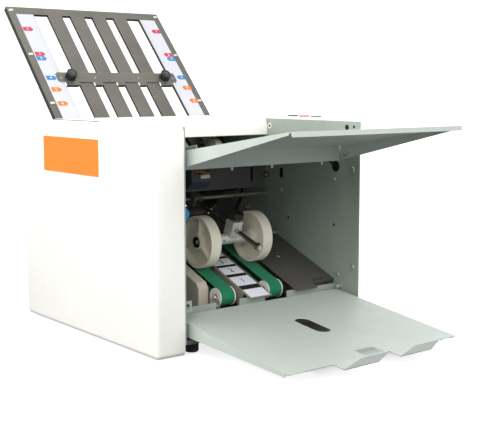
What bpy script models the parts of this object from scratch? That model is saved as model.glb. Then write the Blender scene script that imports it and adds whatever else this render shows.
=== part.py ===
"""Desk-top paper folding machine: a buckle folder with two fold plates and a delivery conveyor.

Metres, +Z up. The machine stands on its feet at z = 0, the operator stands on the -Y side,
and every piece hangs under the empty called machine, whose own frame is centred on the body.
"""
import math

import bmesh
import bpy
from mathutils import Matrix, Vector

# Fits shared by all pieces
FIT_GAP = 0.0003
RUN_GAP = 0.0015
CUT_OVERRUN = 0.004

# Body: side covers outside two side frames
BODY_WIDTH = 0.462
SIDE_COVER_WIDTH = 0.051
BODY_FRONT = -0.2135
BODY_REAR = 0.205
COVER_TOP = 0.345
COVER_BOTTOM = 0.004
COVER_WALL = 0.0025
COVER_ROUND = 0.008
RIGHT_COVER_SETBACK = 0.0635
FRAME_THICK = 0.002
FRAME_BOTTOM = 0.020
FRAME_TOP = 0.3442
FRAME_OUTER = BODY_WIDTH / 2 - SIDE_COVER_WIDTH
FRAME_INNER = FRAME_OUTER - FRAME_THICK
SPAN = FRAME_INNER - FIT_GAP

# Base pan and feet
PAN_THICK = 0.002
PAN_LIP_TOP = 0.0265
FOOT_RADIUS = 0.011
FOOT_INSET = 0.030

# Top and rear covers
TOP_COVER_TOP = 0.3465
TOP_COVER_FRONT = 0.028
TOP_COVER_REAR = 0.185
TOP_COVER_WALL = 0.0015
FASCIA_BOTTOM = 0.3145
FASCIA_BREAK = 0.331
FASCIA_LEAN = 0.004
REAR_COVER_TOP = 0.334
REAR_COVER_THICK = 0.0015

# Paper plane of the feed tray and feed deck
PAPER_SLOPE = math.radians(8.6)
PAPER_Y = -0.172
PAPER_Z = 0.3045
SHEET = 0.0012
TRAY_SIDE_GAP = 0.008

# Feed tray
FEED_TRAY_FRONT = -0.436
FEED_TRAY_LIP = 0.004
FEED_TRAY_FLANGE = 0.0235
FEED_TRAY_APRON = 0.027
FEED_PIVOT_Y = -0.1865
FEED_PIVOT_Z = 0.2874
PIVOT_RADIUS = 0.003

# Feed wheels and rollers
FEED_WHEEL_RADIUS = 0.0195
FEED_WHEEL_WIDTH = 0.015
FEED_WHEEL_PITCH = 0.0755
FEED_WHEEL_Y = 0.0575
ROLLER_RADIUS = 0.015
ROLLER_SIDE_GAP = 0.013
ROLLER_HALF = FRAME_INNER - ROLLER_SIDE_GAP
SHAFT_RADIUS = 0.005
BEARING_WALL = 0.003
NIP_Y = 0.098
NIP_TANGENT = math.radians(19.5)
REAR_ROLLER_ANGLE = math.radians(5.0)
LOWER_ROLLER_ANGLE = math.radians(-80.0)
GEAR_TEETH = 16
GEAR_WIDTH = 0.010
GEAR_STAND = 0.018
GEAR_X = -FRAME_OUTER - GEAR_STAND
TOOTH_HEIGHT = 0.0026

# Upper fold plate
UPPER_SLOPE = math.radians(47.5)
UPPER_Y = 0.106
UPPER_Z = 0.2487
PLATE_SIDE_GAP = 0.008
PLATE_HALF = FRAME_INNER - PLATE_SIDE_GAP
UPPER_LENGTH = 0.413
UPPER_START = 0.040
UPPER_LIP_START = 0.021
PLATE_SHEET = 0.0015
PLATE_THROAT = 0.003
PLATE_DEPTH = 0.010
TOP_BAR = 0.018
SLOT_START = 0.060
BAR_WIDTH = 0.030
BAR_PITCH = 0.049
STRIP_EDGE = 0.119
UPPER_STOP_AT = 0.231

# Lower fold plate
LOWER_SLOPE = math.radians(-42.0)
LOWER_START = 0.022
LOWER_RAIL_START = 0.046
LOWER_LENGTH = 0.270
LOWER_LIFT = 0.005
LOWER_STOP_AT = 0.205
SLOT_HALF = 0.008

# Delivery conveyor
DECK_SLOPE = math.radians(21.34)
DECK_Y = 0.002
DECK_Z = 0.133
BELT_X = 0.050
BELT_WIDTH = 0.027
BELT_THICK = 0.0012
PULLEY_RADIUS = 0.0133
FRONT_PULLEY_AT = -0.1512
REAR_PULLEY_AT = 0.055
DECK_DROP = 0.0015
DECK_FRONT_AT = -0.1862
DECK_FRONT_RIGHT_AT = -0.170
DECK_LEFT_AT = -0.088
DECK_REAR_AT = 0.095
DECK_BRIDGE_AT = 0.075
RAIL_HALF = 0.0235
CROSS_FRONT = -0.1630

# Stacker
CROSS_PANEL_Y = 0.034
CROSS_ROD_Y = 0.027
CROSS_ROD_Z = 0.206
CROSS_ROD_RADIUS = 0.0035
ARM_SLOPE = math.radians(19.4)
ARM_X = 0.008
GUIDE_ROD_RADIUS = 0.004
GUIDE_ROD_END = 0.197
WHEEL_RADIUS = 0.0435
WHEEL_WIDTH = 0.020
WHEEL_X = 0.054
WHEEL_AXLE_Y = -0.080

# Exit tray
EXIT_SLOPE = math.radians(6.79)
EXIT_REAR_Y = -0.170
EXIT_REAR_Z = 0.055
EXIT_LENGTH = 0.2664
EXIT_PIVOT_INSET = 0.010
EXIT_PIVOT_DROP = 0.0115
EXIT_FLANGE = 0.0225
EXIT_TIP_FLANGE = 0.006
LIP_REACH = 0.0215

# Drive in the side cover
MOTOR_Y = 0.155
MOTOR_Z = 0.075
MOTOR_RADIUS = 0.030
MOTOR_LENGTH = 0.092
DRIVE_PULLEY_RADIUS = 0.016
MOTOR_PULLEY_RADIUS = 0.010
DRIVE_BELT_WIDTH = 0.008
DRIVE_BELT_THICK = 0.0015
DRIVE_BELT_STAND = 0.027
DRIVE_BELT_X = -FRAME_OUTER - DRIVE_BELT_STAND
FEED_BELT_STAND = 0.010
FEED_BELT_X = FRAME_OUTER + FEED_BELT_STAND
FEED_BELT_WALL = 0.0012
FEED_PULLEY_RADIUS = 0.010

# Control panel, its buttons and the mains inlet
BUTTON_WIDTH = 0.014
BUTTON_LENGTH = 0.0165
BUTTON_PITCH = 0.0315
BUTTON_ROW_Y = -0.0435
BUTTON_TRAVEL = 0.0015
PANEL_THICK = 0.003
PANEL_STAND = 0.025
PANEL_X = FRAME_OUTER + PANEL_STAND
INLET_INSET = 0.058
INLET_X = FRAME_INNER - INLET_INSET
INLET_Z = 0.074
INLET_HALF = 0.0137
INLET_HEIGHT = 0.032
ROCKER_RADIUS = 0.0105

# Paper guides, side block, knobs
GUIDE_INSET = 0.068
GUIDE_X = FRAME_INNER - GUIDE_INSET
GUIDE_FRONT = -0.150
GUIDE_REAR = 0.018
GUIDE_HEIGHT = 0.012
BLOCK_INNER = 0.0668
BLOCK_OUTER = 0.0868
BLUE_KNOB_INSET = 0.0155
BLUE_KNOB_X = -FRAME_INNER + BLUE_KNOB_INSET
BLUE_KNOB_Y = -0.1835
BLUE_KNOB_Z = 0.2125
BLUE_KNOB_STEM = 0.003
BLUE_KNOB_REACH = 0.010
STOP_KNOB_RADIUS = 0.011
STOP_KNOB_HEIGHT = 0.012
STOP_SCREW_RADIUS = 0.0025
CARRIAGE_KNOB_RADIUS = 0.013
CARRIAGE_KNOB_HEIGHT = 0.011

# Control board and wire loom
BOARD_STAND = 0.008
BOARD_THICK = 0.0016
LOOM_RADIUS = 0.0028

MATERIALS = {}


def direction(angle):
    """Unit vector in the YZ plane at an angle above +Y."""
    return Vector((0, math.cos(angle), math.sin(angle)))


def paper_z(y):
    """Height of the paper plane at y."""
    return PAPER_Z - (y - PAPER_Y) * math.tan(PAPER_SLOPE)


# Places worked out from the driving sizes
NIP = Vector((0, NIP_Y, paper_z(NIP_Y)))
ROLLER_REACH = ROLLER_RADIUS + FIT_GAP / 2
UPPER_ROLLER_ANGLE = math.pi / 2 + NIP_TANGENT
MAIN_ROLLER = NIP - direction(UPPER_ROLLER_ANGLE) * ROLLER_REACH
UPPER_ROLLER = NIP + direction(UPPER_ROLLER_ANGLE) * ROLLER_REACH
REAR_ROLLER = MAIN_ROLLER + direction(REAR_ROLLER_ANGLE) * ROLLER_REACH * 2
LOWER_ROLLER = MAIN_ROLLER + direction(LOWER_ROLLER_ANGLE) * ROLLER_REACH * 2
FEED_SHAFT = Vector((0, FEED_WHEEL_Y, paper_z(FEED_WHEEL_Y) + (FEED_WHEEL_RADIUS + FIT_GAP)
                     / math.cos(PAPER_SLOPE)))
DECK_ORIGIN = Vector((0, DECK_Y, DECK_Z))
DECK_ALONG = direction(DECK_SLOPE)
DECK_UP = direction(DECK_SLOPE + math.pi / 2)
BELT_OUTER = PULLEY_RADIUS + FIT_GAP + BELT_THICK
FRONT_PULLEY = DECK_ORIGIN + DECK_ALONG * FRONT_PULLEY_AT - DECK_UP * BELT_OUTER
REAR_PULLEY = DECK_ORIGIN + DECK_ALONG * REAR_PULLEY_AT - DECK_UP * BELT_OUTER
MOTOR_SHAFT = Vector((0, MOTOR_Y, MOTOR_Z))
CROSS_ROD = Vector((0, CROSS_ROD_Y, CROSS_ROD_Z))
WHEEL_AXLE = Vector((0, WHEEL_AXLE_Y, DECK_Z + (WHEEL_AXLE_Y - DECK_Y) * math.tan(DECK_SLOPE)
                     + (WHEEL_RADIUS + FIT_GAP) / math.cos(DECK_SLOPE)))
FEED_PIVOT = Vector((0, FEED_PIVOT_Y, FEED_PIVOT_Z))
EXIT_ALONG = direction(EXIT_SLOPE)
EXIT_UP = direction(EXIT_SLOPE + math.pi / 2)
EXIT_PIVOT = (Vector((0, EXIT_REAR_Y, EXIT_REAR_Z)) - EXIT_ALONG * EXIT_PIVOT_INSET
              - EXIT_UP * EXIT_PIVOT_DROP)
UPPER_ORIGIN = Vector((0, UPPER_Y, UPPER_Z))
UPPER_TOP = UPPER_ORIGIN + direction(UPPER_SLOPE) * UPPER_LENGTH
EXIT_TIP_Y = (EXIT_PIVOT + EXIT_UP * EXIT_PIVOT_DROP
              + EXIT_ALONG * (EXIT_PIVOT_INSET - EXIT_LENGTH - LIP_REACH)).y
REAR_REACH = UPPER_TOP.y + PLATE_DEPTH * math.sin(UPPER_SLOPE)
MACHINE_Y = -(EXIT_TIP_Y + REAR_REACH) / 2
TRAY_HALF = FRAME_INNER - TRAY_SIDE_GAP


# Tools that build closed shapes
def circle(radius, sides, centre=(0.0, 0.0), turn=0.0):
    """Points of a regular outline round a centre."""
    steps = [turn + 2 * math.pi * index / sides for index in range(sides)]
    return [(centre[0] + radius * math.cos(a), centre[1] + radius * math.sin(a)) for a in steps]


def rounded(low, high, radius, steps=3):
    """Outline of a rectangle with round corners."""
    points = []
    corners = ((high[0] - radius, high[1] - radius, 0), (low[0] + radius, high[1] - radius, 1),
               (low[0] + radius, low[1] + radius, 2), (high[0] - radius, low[1] + radius, 3))
    for across, along, quarter in corners:
        for step in range(steps + 1):
            angle = math.pi / 2 * (quarter + step / steps)
            points.append((across + radius * math.cos(angle), along + radius * math.sin(angle)))
    return points


def place(axis, along, a, b):
    """Point at a distance along one axis and a, b on the other two."""
    if axis == "X":
        return (along, a, b)
    if axis == "Y":
        return (a, along, b)
    return (a, b, along)


def bridge(shape, first, second):
    """Skin between two closed loops of equal length."""
    count = len(first)
    for index in range(count):
        after = (index + 1) % count
        shape.faces.new((first[index], first[after], second[after], second[index]))


def prism(outline, axis, start, end, shape=None):
    """Closed prism of an outline between two places on an axis."""
    shape = shape or bmesh.new()
    near = [shape.verts.new(place(axis, start, a, b)) for a, b in outline]
    far = [shape.verts.new(place(axis, end, a, b)) for a, b in outline]
    bridge(shape, near, far)
    shape.faces.new(near)
    shape.faces.new(list(reversed(far)))
    return shape


def box(low, high, shape=None):
    """Closed box between two corners."""
    outline = ((low[1], low[2]), (high[1], low[2]), (high[1], high[2]), (low[1], high[2]))
    return prism(outline, "X", low[0], high[0], shape)


def pin(radius, axis, start, end, centre=(0.0, 0.0), sides=16, shape=None):
    """Closed round bar along an axis."""
    return prism(circle(radius, sides, centre), axis, start, end, shape)


def ring(inner, outer, axis, start, end, shape=None):
    """Closed ring between two outlines of equal length."""
    shape = shape or bmesh.new()
    loops = []
    for outline, along in ((inner, start), (outer, start), (outer, end), (inner, end)):
        loops.append([shape.verts.new(place(axis, along, a, b)) for a, b in outline])
    for index, loop in enumerate(loops):
        bridge(shape, loop, loops[(index + 1) % len(loops)])
    return shape


def turned(profile, axis, centre=(0.0, 0.0), steps=24, shape=None):
    """Closed turned solid; profile runs from axis to axis as (place, radius)."""
    shape = shape or bmesh.new()
    loops = []
    for along, radius in profile[1:-1]:
        loops.append([shape.verts.new(place(axis, along, a, b)) for a, b in circle(radius, steps, centre)])
    for first, second in zip(loops, loops[1:]):
        bridge(shape, first, second)
    shape.faces.new(loops[0])
    shape.faces.new(list(reversed(loops[-1])))
    return shape


def bored(profile, axis, centre=(0.0, 0.0), steps=24, shape=None):
    """Closed turned ring; profile is a closed loop of (place, radius)."""
    shape = shape or bmesh.new()
    loops = []
    for along, radius in profile:
        loops.append([shape.verts.new(place(axis, along, a, b)) for a, b in circle(radius, steps, centre)])
    for index, loop in enumerate(loops):
        bridge(shape, loop, loops[(index + 1) % len(loops)])
    return shape


def bent(points, thickness):
    """Outline of a sheet that follows points, thickness on the right of its way."""
    offset = []
    count = len(points)
    for index, point in enumerate(points):
        normals = []
        for a, b in ((index - 1, index), (index, index + 1)):
            if 0 <= a and b < count:
                along = Vector(points[b]) - Vector(points[a])
                normals.append(Vector((along.y, -along.x)).normalized())
        mean = (normals[0] + normals[-1]).normalized()
        shift = mean * (thickness / mean.dot(normals[0]))
        offset.append((point[0] + shift.x, point[1] + shift.y))
    return list(points) + offset[::-1]


def temporary(shape, name):
    """Object that holds a shape while a modifier works on it."""
    bmesh.ops.recalc_face_normals(shape, faces=shape.faces[:])
    mesh = bpy.data.meshes.new(name)
    shape.to_mesh(mesh)
    shape.free()
    item = bpy.data.objects.new(name, mesh)
    bpy.context.scene.collection.objects.link(item)
    return item


def evaluated(item):
    """Shape of an object after its modifiers; the object is removed."""
    bpy.context.view_layer.update()
    graph = bpy.context.evaluated_depsgraph_get()
    mesh = bpy.data.meshes.new_from_object(item.evaluated_get(graph))
    shape = bmesh.new()
    shape.from_mesh(mesh)
    bpy.data.meshes.remove(mesh)
    remove(item)
    return shape


def remove(item):
    """Take a working object out of the file."""
    mesh = item.data
    bpy.data.objects.remove(item)
    bpy.data.meshes.remove(mesh)


def combine(shape, tool, operation):
    """Exact Boolean of two closed shapes."""
    base = temporary(shape, "base")
    other = temporary(tool, "tool")
    modifier = base.modifiers.new("combine", "BOOLEAN")
    modifier.operation = operation
    modifier.solver = "EXACT"
    modifier.object = other
    result = evaluated(base)
    remove(other)
    return result


def cut(shape, tool):
    """Shape without the tool."""
    return combine(shape, tool, "DIFFERENCE")


def fuse(shape, tool):
    """Shape and tool as one body."""
    return combine(shape, tool, "UNION")


def sheet(points, faces, thickness):
    """Closed sheet-metal skin behind faces that share points."""
    shape = bmesh.new()
    corners = [shape.verts.new(point) for point in points]
    for face in faces:
        shape.faces.new([corners[index] for index in face])
    mesh = bpy.data.meshes.new("sheet")
    shape.to_mesh(mesh)
    shape.free()
    item = bpy.data.objects.new("sheet", mesh)
    bpy.context.scene.collection.objects.link(item)
    modifier = item.modifiers.new("thickness", "SOLIDIFY")
    modifier.thickness = thickness
    modifier.offset = -1.0
    modifier.use_even_offset = True
    return evaluated(item)


def material(name, colour, roughness, metallic=0.0):
    """Principled material, made once for each name."""
    if name not in MATERIALS:
        made = bpy.data.materials.new(name)
        made.use_nodes = True
        shader = made.node_tree.nodes["Principled BSDF"]
        shader.inputs["Base Color"].default_value = (*colour, 1.0)
        shader.inputs["Roughness"].default_value = roughness
        shader.inputs["Metallic"].default_value = metallic
        MATERIALS[name] = made
    return MATERIALS[name]


def cover_paint():
    """Cream white powder coat."""
    return material("cover_paint", (0.90, 0.89, 0.85), 0.45)


def frame_paint():
    """Grey-green paint of the frames."""
    return material("frame_paint", (0.24, 0.26, 0.25), 0.42)


def tray_paint():
    """Light grey paint of the trays."""
    return material("tray_paint", (0.52, 0.56, 0.55), 0.40)


def dark_steel():
    """Dark painted sheet steel."""
    return material("dark_steel", (0.045, 0.042, 0.040), 0.50, 0.3)


def bright_steel():
    """Plated steel of rods, pins and screws."""
    return material("bright_steel", (0.62, 0.61, 0.58), 0.28, 1.0)


def grid_steel():
    """Brushed grey fold plate steel."""
    return material("grid_steel", (0.26, 0.25, 0.23), 0.38, 0.8)


def cream_plastic():
    """Cream moulded plastic of wheels and blocks."""
    return material("cream_plastic", (0.60, 0.56, 0.48), 0.45)


def black_plastic():
    """Black moulded plastic."""
    return material("black_plastic", (0.02, 0.02, 0.02), 0.40)


def rubber():
    """Black rubber."""
    return material("rubber", (0.03, 0.03, 0.03), 0.80)


def belt_green():
    """Green conveyor belting."""
    return material("belt_green", (0.01, 0.20, 0.09), 0.60)


def empty(name, location, parent=None, tilt=0.0):
    """Empty that carries the pieces of one body."""
    item = bpy.data.objects.new(name, None)
    item.location = location
    item.rotation_euler = (tilt, 0.0, 0.0)
    item.parent = parent
    bpy.context.scene.collection.objects.link(item)
    return item


def piece(name, shape, finish, parent, origin=(0.0, 0.0, 0.0)):
    """Named object whose mesh is given in its parent's frame."""
    bmesh.ops.recalc_face_normals(shape, faces=shape.faces[:])
    bmesh.ops.translate(shape, vec=-Vector(origin), verts=shape.verts[:])
    mesh = bpy.data.meshes.new(name)
    shape.to_mesh(mesh)
    shape.free()
    mesh.shade_smooth()
    mesh.set_sharp_from_angle(angle=math.radians(30.0))
    mesh.materials.append(finish)
    item = bpy.data.objects.new(name, mesh)
    item.location = origin
    item.parent = parent
    bpy.context.scene.collection.objects.link(item)
    return item


# Base pan, feet, side frames
def base_pan(machine):
    """Bent steel pan under the machine with a front and rear lip."""
    top = FRAME_BOTTOM + PAN_THICK
    front = BODY_FRONT
    rear = BODY_REAR - REAR_COVER_THICK - FIT_GAP
    path = ((front, PAN_LIP_TOP), (front, FRAME_BOTTOM), (rear, FRAME_BOTTOM), (rear, PAN_LIP_TOP))
    shape = prism(bent(path, -PAN_THICK), "X", -SPAN, SPAN)
    vents = bmesh.new()
    vent_pitch = 0.020
    vent_half = 0.045
    vent_width = 0.003
    for index in range(4):
        y = (index - 1.5) * vent_pitch
        outline = rounded((-vent_half, y - vent_width), (vent_half, y + vent_width), vent_width * 0.9, 2)
        prism(outline, "Z", FRAME_BOTTOM - CUT_OVERRUN, top + CUT_OVERRUN, vents)
    piece("base_pan", cut(shape, vents), dark_steel(), machine)


def feet_places():
    """Centres of the four feet."""
    across = FRAME_INNER - FOOT_INSET
    front = BODY_FRONT + FOOT_INSET
    rear = BODY_REAR - FOOT_INSET
    return [(x, y) for x in (-across, across) for y in (front, rear)]


def rubber_feet(machine):
    """Four turned rubber feet under the pan."""
    top = FRAME_BOTTOM - FIT_GAP
    edge = 0.0015
    waist = FOOT_RADIUS - edge
    names = ("front_left_foot", "rear_left_foot", "front_right_foot", "rear_right_foot")
    profile = ((0, 0), (0, waist), (edge, FOOT_RADIUS), (top - edge, FOOT_RADIUS), (top, waist), (top, 0))
    for name, centre in zip(names, feet_places()):
        piece(name, turned(profile, "Z", centre, 12), rubber(), machine)


def keyhole(centre, radius, slot_half, reach, angle):
    """Outline of a round hole with a slot leaving it at an angle."""
    opening = math.asin(slot_half / radius)
    steps = 10
    sweep = 2 * math.pi - 2 * opening
    points = []
    for step in range(steps + 1):
        a = angle + opening + sweep * step / steps
        points.append((centre[0] + radius * math.cos(a), centre[1] + radius * math.sin(a)))
    along = (math.cos(angle), math.sin(angle))
    for side in (-1, 1):
        points.append((centre[0] + along[0] * reach - side * along[1] * slot_half,
                       centre[1] + along[1] * reach + side * along[0] * slot_half))
    return points


def bearing_places():
    """Shaft centres that both side frames carry."""
    return (UPPER_ROLLER, MAIN_ROLLER, REAR_ROLLER, LOWER_ROLLER, FEED_SHAFT)


def bearing_radius():
    """Outer radius of a bearing bush."""
    return SHAFT_RADIUS + FIT_GAP + BEARING_WALL


def frame_plate(side, carried):
    """Side frame sheet with the bearing collars and bores of the shafts it carries."""
    start, end = side * FRAME_INNER, side * FRAME_OUTER
    rear = BODY_REAR - REAR_COVER_THICK - FIT_GAP
    shape = prism(rounded((BODY_FRONT, FRAME_BOTTOM), (rear, FRAME_TOP), PAN_THICK), "X", start, end)
    collar_height = 0.003
    middle = side * (FRAME_OUTER - FRAME_THICK / 2)
    collars = bmesh.new()
    bores = bmesh.new()
    for centre in carried:
        spot = (centre.y, centre.z)
        pin(bearing_radius(), "X", middle, side * (FRAME_OUTER + collar_height), spot, 10, collars)
        pin(SHAFT_RADIUS + FIT_GAP * 2, "X", start - side * CUT_OVERRUN, end + side * CUT_OVERRUN * 2, spot,
            10, bores)
    return cut(fuse(shape, collars), bores)


def riveted(shape, side):
    """Side frame with its riveted studs and its screw heads."""
    root = side * (FRAME_OUTER - FRAME_THICK / 4)
    studs = bmesh.new()
    for centre in (FEED_PIVOT, EXIT_PIVOT):
        pin(PIVOT_RADIUS, "X", root, side * (TRAY_HALF - SHEET - RUN_GAP), (centre.y, centre.z), 8, studs)
    for centre in plate_stud_places():
        pin(PIVOT_RADIUS, "X", root, side * (PLATE_HALF + FIT_GAP), (centre.y, centre.z), 8, studs)
    head = 0.0033
    thick = 0.0018
    spots = ((-0.198, 0.263), (-0.153, 0.244), (-0.1995, 0.097), (-0.1635, 0.0786), (-0.012, 0.2145))
    edge = side * (FRAME_INNER - thick / 2)
    tip = side * (FRAME_INNER - thick)
    profile = ((root, 0), (root, head), (edge, head), (tip, head * 0.75), (tip, 0))
    for spot in spots:
        turned(profile, "X", spot, 8, studs)
    return fuse(shape, studs)


def right_frame(machine):
    """Right side frame with the holes and slots seen in the bay."""
    shape = frame_plate(1, bearing_places())
    low = FRAME_INNER - CUT_OVERRUN
    high = FRAME_OUTER + CUT_OVERRUN
    latch_hole = 0.00625
    latch_y = -0.157
    latch_z = 0.2655
    latch_slot = 0.0025
    latch_reach = 0.026
    latch_angle = math.radians(28.0)
    holes = prism(keyhole((latch_y, latch_z), latch_hole, latch_slot, latch_reach, latch_angle), "X", low,
                  high)
    small = 0.0015
    medium = 0.0028
    large = 0.0052
    spots = ((-0.182, 0.3335, large), (-0.199, 0.3350, medium), (-0.153, 0.1646, small),
             (-0.032, 0.165, small), (0.022, 0.3306, medium))
    for y, z, radius in spots:
        pin(radius, "X", low, high, (y, z), 10, holes)
    slots = ((-0.011, 0.2365, 0.256, 0.003), (0.0636, 0.220, 0.244, 0.0025))
    for y, bottom, top, half in slots:
        prism(rounded((y - half, bottom), (y + half, top), half * 0.95, 2), "X", low, high, holes)
    shape = riveted(cut(shape, holes), 1)
    short = 0.006
    long = 0.012
    pins = bmesh.new()
    for y, z, length in ((-0.171, 0.056, short), (0.0815, 0.1745, short), (0.005, 0.128, long)):
        pin(PIVOT_RADIUS * 0.8, "X", FRAME_OUTER - FRAME_THICK / 4, FRAME_INNER - length, (y, z), 8, pins)
    piece("right_frame", fuse(shape, pins), frame_paint(), machine)


def left_frame(machine):
    """Left side frame, which also carries the drive."""
    shape = frame_plate(-1, bearing_places() + (REAR_PULLEY, MOTOR_SHAFT))
    piece("left_frame", riveted(shape, -1), frame_paint(), machine)


# Covers
def eased_block(inner, outer, low, high, radius):
    """Box between x places, all edges round that reach its outer face."""
    across = sorted((inner, outer))
    shape = box((across[0], *low), (across[1], *high))
    reaching = [edge for edge in shape.edges if any(abs(v.co.x - outer) < FIT_GAP for v in edge.verts)]
    bmesh.ops.bevel(shape, geom=reaching, offset=radius, segments=3, profile=0.5, affect="EDGES")
    return shape


def cover_shell(inner, outer, front):
    """Side cover: a deep tray with round outer edges, open towards the frame."""
    shape = eased_block(inner, outer, (front, COVER_BOTTOM), (BODY_REAR, COVER_TOP), COVER_ROUND)
    side = 1 if outer > inner else -1
    hollow = eased_block(inner - side * CUT_OVERRUN, outer - side * COVER_WALL,
                         (front + COVER_WALL, COVER_BOTTOM + COVER_WALL),
                         (BODY_REAR - COVER_WALL, COVER_TOP - COVER_WALL), COVER_ROUND - COVER_WALL)
    return cut(shape, hollow)


def left_cover(machine):
    """Left side cover over the drive."""
    shape = cover_shell(-FRAME_OUTER - FIT_GAP, -BODY_WIDTH / 2, BODY_FRONT)
    piece("left_cover", shape, cover_paint(), machine)


def button_places():
    """Centres of the three push buttons, front one first."""
    return [BUTTON_ROW_Y + (index - 1) * BUTTON_PITCH for index in range(3)]


def right_cover(machine):
    """Right side cover, set back behind the frame's front edge."""
    shape = cover_shell(FRAME_OUTER + FIT_GAP, BODY_WIDTH / 2, BODY_FRONT + RIGHT_COVER_SETBACK)
    piece("right_cover", shape, cover_paint(), machine)


def control_panel(machine):
    """Panel plate on the right cover with three button windows."""
    margin = 0.010
    corner = 0.003
    half = BUTTON_WIDTH / 2 + margin
    reach = BUTTON_PITCH + BUTTON_LENGTH / 2 + margin
    bottom = COVER_TOP + FIT_GAP
    outline = rounded((PANEL_X - half, BUTTON_ROW_Y - reach), (PANEL_X + half, BUTTON_ROW_Y + reach),
                      corner)
    shape = prism(outline, "Z", bottom, bottom + PANEL_THICK)
    windows = bmesh.new()
    across = BUTTON_WIDTH / 2 + FIT_GAP
    along = BUTTON_LENGTH / 2 + FIT_GAP
    for y in button_places():
        prism(rounded((PANEL_X - across, y - along), (PANEL_X + across, y + along), corner, 2), "Z",
              bottom - CUT_OVERRUN, bottom + PANEL_THICK + CUT_OVERRUN, windows)
    piece("control_panel", cut(shape, windows), cover_paint(), machine)


def push_button(machine, name, y, finish):
    """Push button cap that travels down in its window."""
    proud = 0.0025
    corner = 0.0027
    crown = 0.0008
    bottom = COVER_TOP + FIT_GAP * 2 + BUTTON_TRAVEL
    top = COVER_TOP + FIT_GAP + PANEL_THICK + proud
    body = empty(name + "_slide", (PANEL_X, y, bottom), machine)
    half = BUTTON_WIDTH / 2
    reach = BUTTON_LENGTH / 2
    shape = prism(rounded((-half, -reach), (half, reach), corner, 2), "Z", 0, top - bottom)
    rim = [edge for edge in shape.edges if all(v.co.z > top - bottom - FIT_GAP for v in edge.verts)]
    bmesh.ops.bevel(shape, geom=rim, offset=crown, segments=2, profile=0.5, affect="EDGES")
    piece(name, shape, finish, body)


def push_buttons(machine):
    """Start, stop and reset buttons in one row."""
    finishes = (("start_button", material("button_green", (0.02, 0.25, 0.12), 0.40)),
                ("stop_button", material("button_red", (0.55, 0.05, 0.06), 0.40)),
                ("reset_button", black_plastic()))
    for y, (name, finish) in zip(button_places(), finishes):
        push_button(machine, name, y, finish)


def top_cover(machine):
    """Bent top cover with its leaning front fascia."""
    path = ((TOP_COVER_FRONT, FASCIA_BOTTOM), (TOP_COVER_FRONT, FASCIA_BREAK),
            (TOP_COVER_FRONT + FASCIA_LEAN, TOP_COVER_TOP), (TOP_COVER_REAR, TOP_COVER_TOP))
    skirt = 0.0178
    lip = 0.008
    rear_lip = 0.010
    top = prism(bent(path[2:] + ((TOP_COVER_REAR, TOP_COVER_TOP - rear_lip),), TOP_COVER_WALL), "X",
                -SPAN, SPAN)
    foot = ((TOP_COVER_FRONT + lip, FASCIA_BOTTOM),) + path[:3]
    overlap = (TOP_COVER_FRONT + FASCIA_LEAN + skirt, TOP_COVER_TOP)
    front = prism(bent(foot + (overlap,), TOP_COVER_WALL), "X", -SPAN, SPAN)
    piece("top_cover", fuse(top, front), cover_paint(), machine)


def rear_cover(machine):
    """Rear cover with the lower fold plate's slot, the inlet hole and vents."""
    inner = BODY_REAR - REAR_COVER_THICK
    shape = box((-SPAN, inner, FRAME_BOTTOM), (SPAN, BODY_REAR, REAR_COVER_TOP))
    low = inner - CUT_OVERRUN
    high = BODY_REAR + CUT_OVERRUN
    centre = lower_plate_height(BODY_REAR)
    above = 0.0215
    below = 0.0175
    half = PLATE_HALF + RUN_GAP
    holes = box((-half, low, centre - below), (half, high, centre + above))
    inlet = inlet_outline(FIT_GAP)
    prism(inlet, "Y", low, high, holes)
    vent_z = 0.270
    vent_pitch = 0.012
    vent_half = 0.060
    vent_height = 0.002
    for index in range(4):
        z = vent_z + index * vent_pitch
        outline = rounded((-vent_half, z - vent_height), (vent_half, z + vent_height), vent_height * 0.9, 1)
        prism(outline, "Y", low, high, holes)
    piece("rear_cover", cut(shape, holes), cover_paint(), machine)


def inlet_outline(gap):
    """Outline of the inlet and switch housing in XZ."""
    corner = 0.003
    return rounded((INLET_X - INLET_HALF - gap, INLET_Z - INLET_HEIGHT - gap),
                   (INLET_X + INLET_HALF + gap, INLET_Z + INLET_HEIGHT + gap), corner)


def rocker_centre():
    """Pivot of the power switch rocker."""
    inward = 0.004
    return Vector((INLET_X, BODY_REAR - inward, INLET_Z + INLET_HEIGHT / 2))


def power_inlet(machine):
    """Mains inlet and switch housing in the rear cover."""
    proud = 0.002
    depth = 0.022
    shape = prism(inlet_outline(0), "Y", BODY_REAR - depth, BODY_REAR + proud)
    socket_half = 0.0105
    socket_height = 0.0065
    socket_depth = 0.016
    low = BODY_REAR + proud - socket_depth
    z = INLET_Z - INLET_HEIGHT / 2
    outline = rounded((INLET_X - socket_half, z - socket_height),
                      (INLET_X + socket_half, z + socket_height), proud)
    pocket = prism(outline, "Y", low, BODY_REAR + CUT_OVERRUN)
    half = ROCKER_RADIUS / 2 + FIT_GAP
    centre = rocker_centre()
    pin(ROCKER_RADIUS + FIT_GAP, "X", INLET_X - half, INLET_X + half, (centre.y, centre.z), 24, pocket)
    shape = cut(shape, pocket)
    blade = 0.001
    tall = 0.002
    for offset in (-1, 0, 1):
        x = INLET_X + offset * socket_half / 2
        pole = box((x - blade, low - CUT_OVERRUN, z - tall), (x + blade, BODY_REAR - proud, z + tall))
        shape = fuse(shape, pole)
    piece("power_inlet", shape, black_plastic(), machine)


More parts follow.
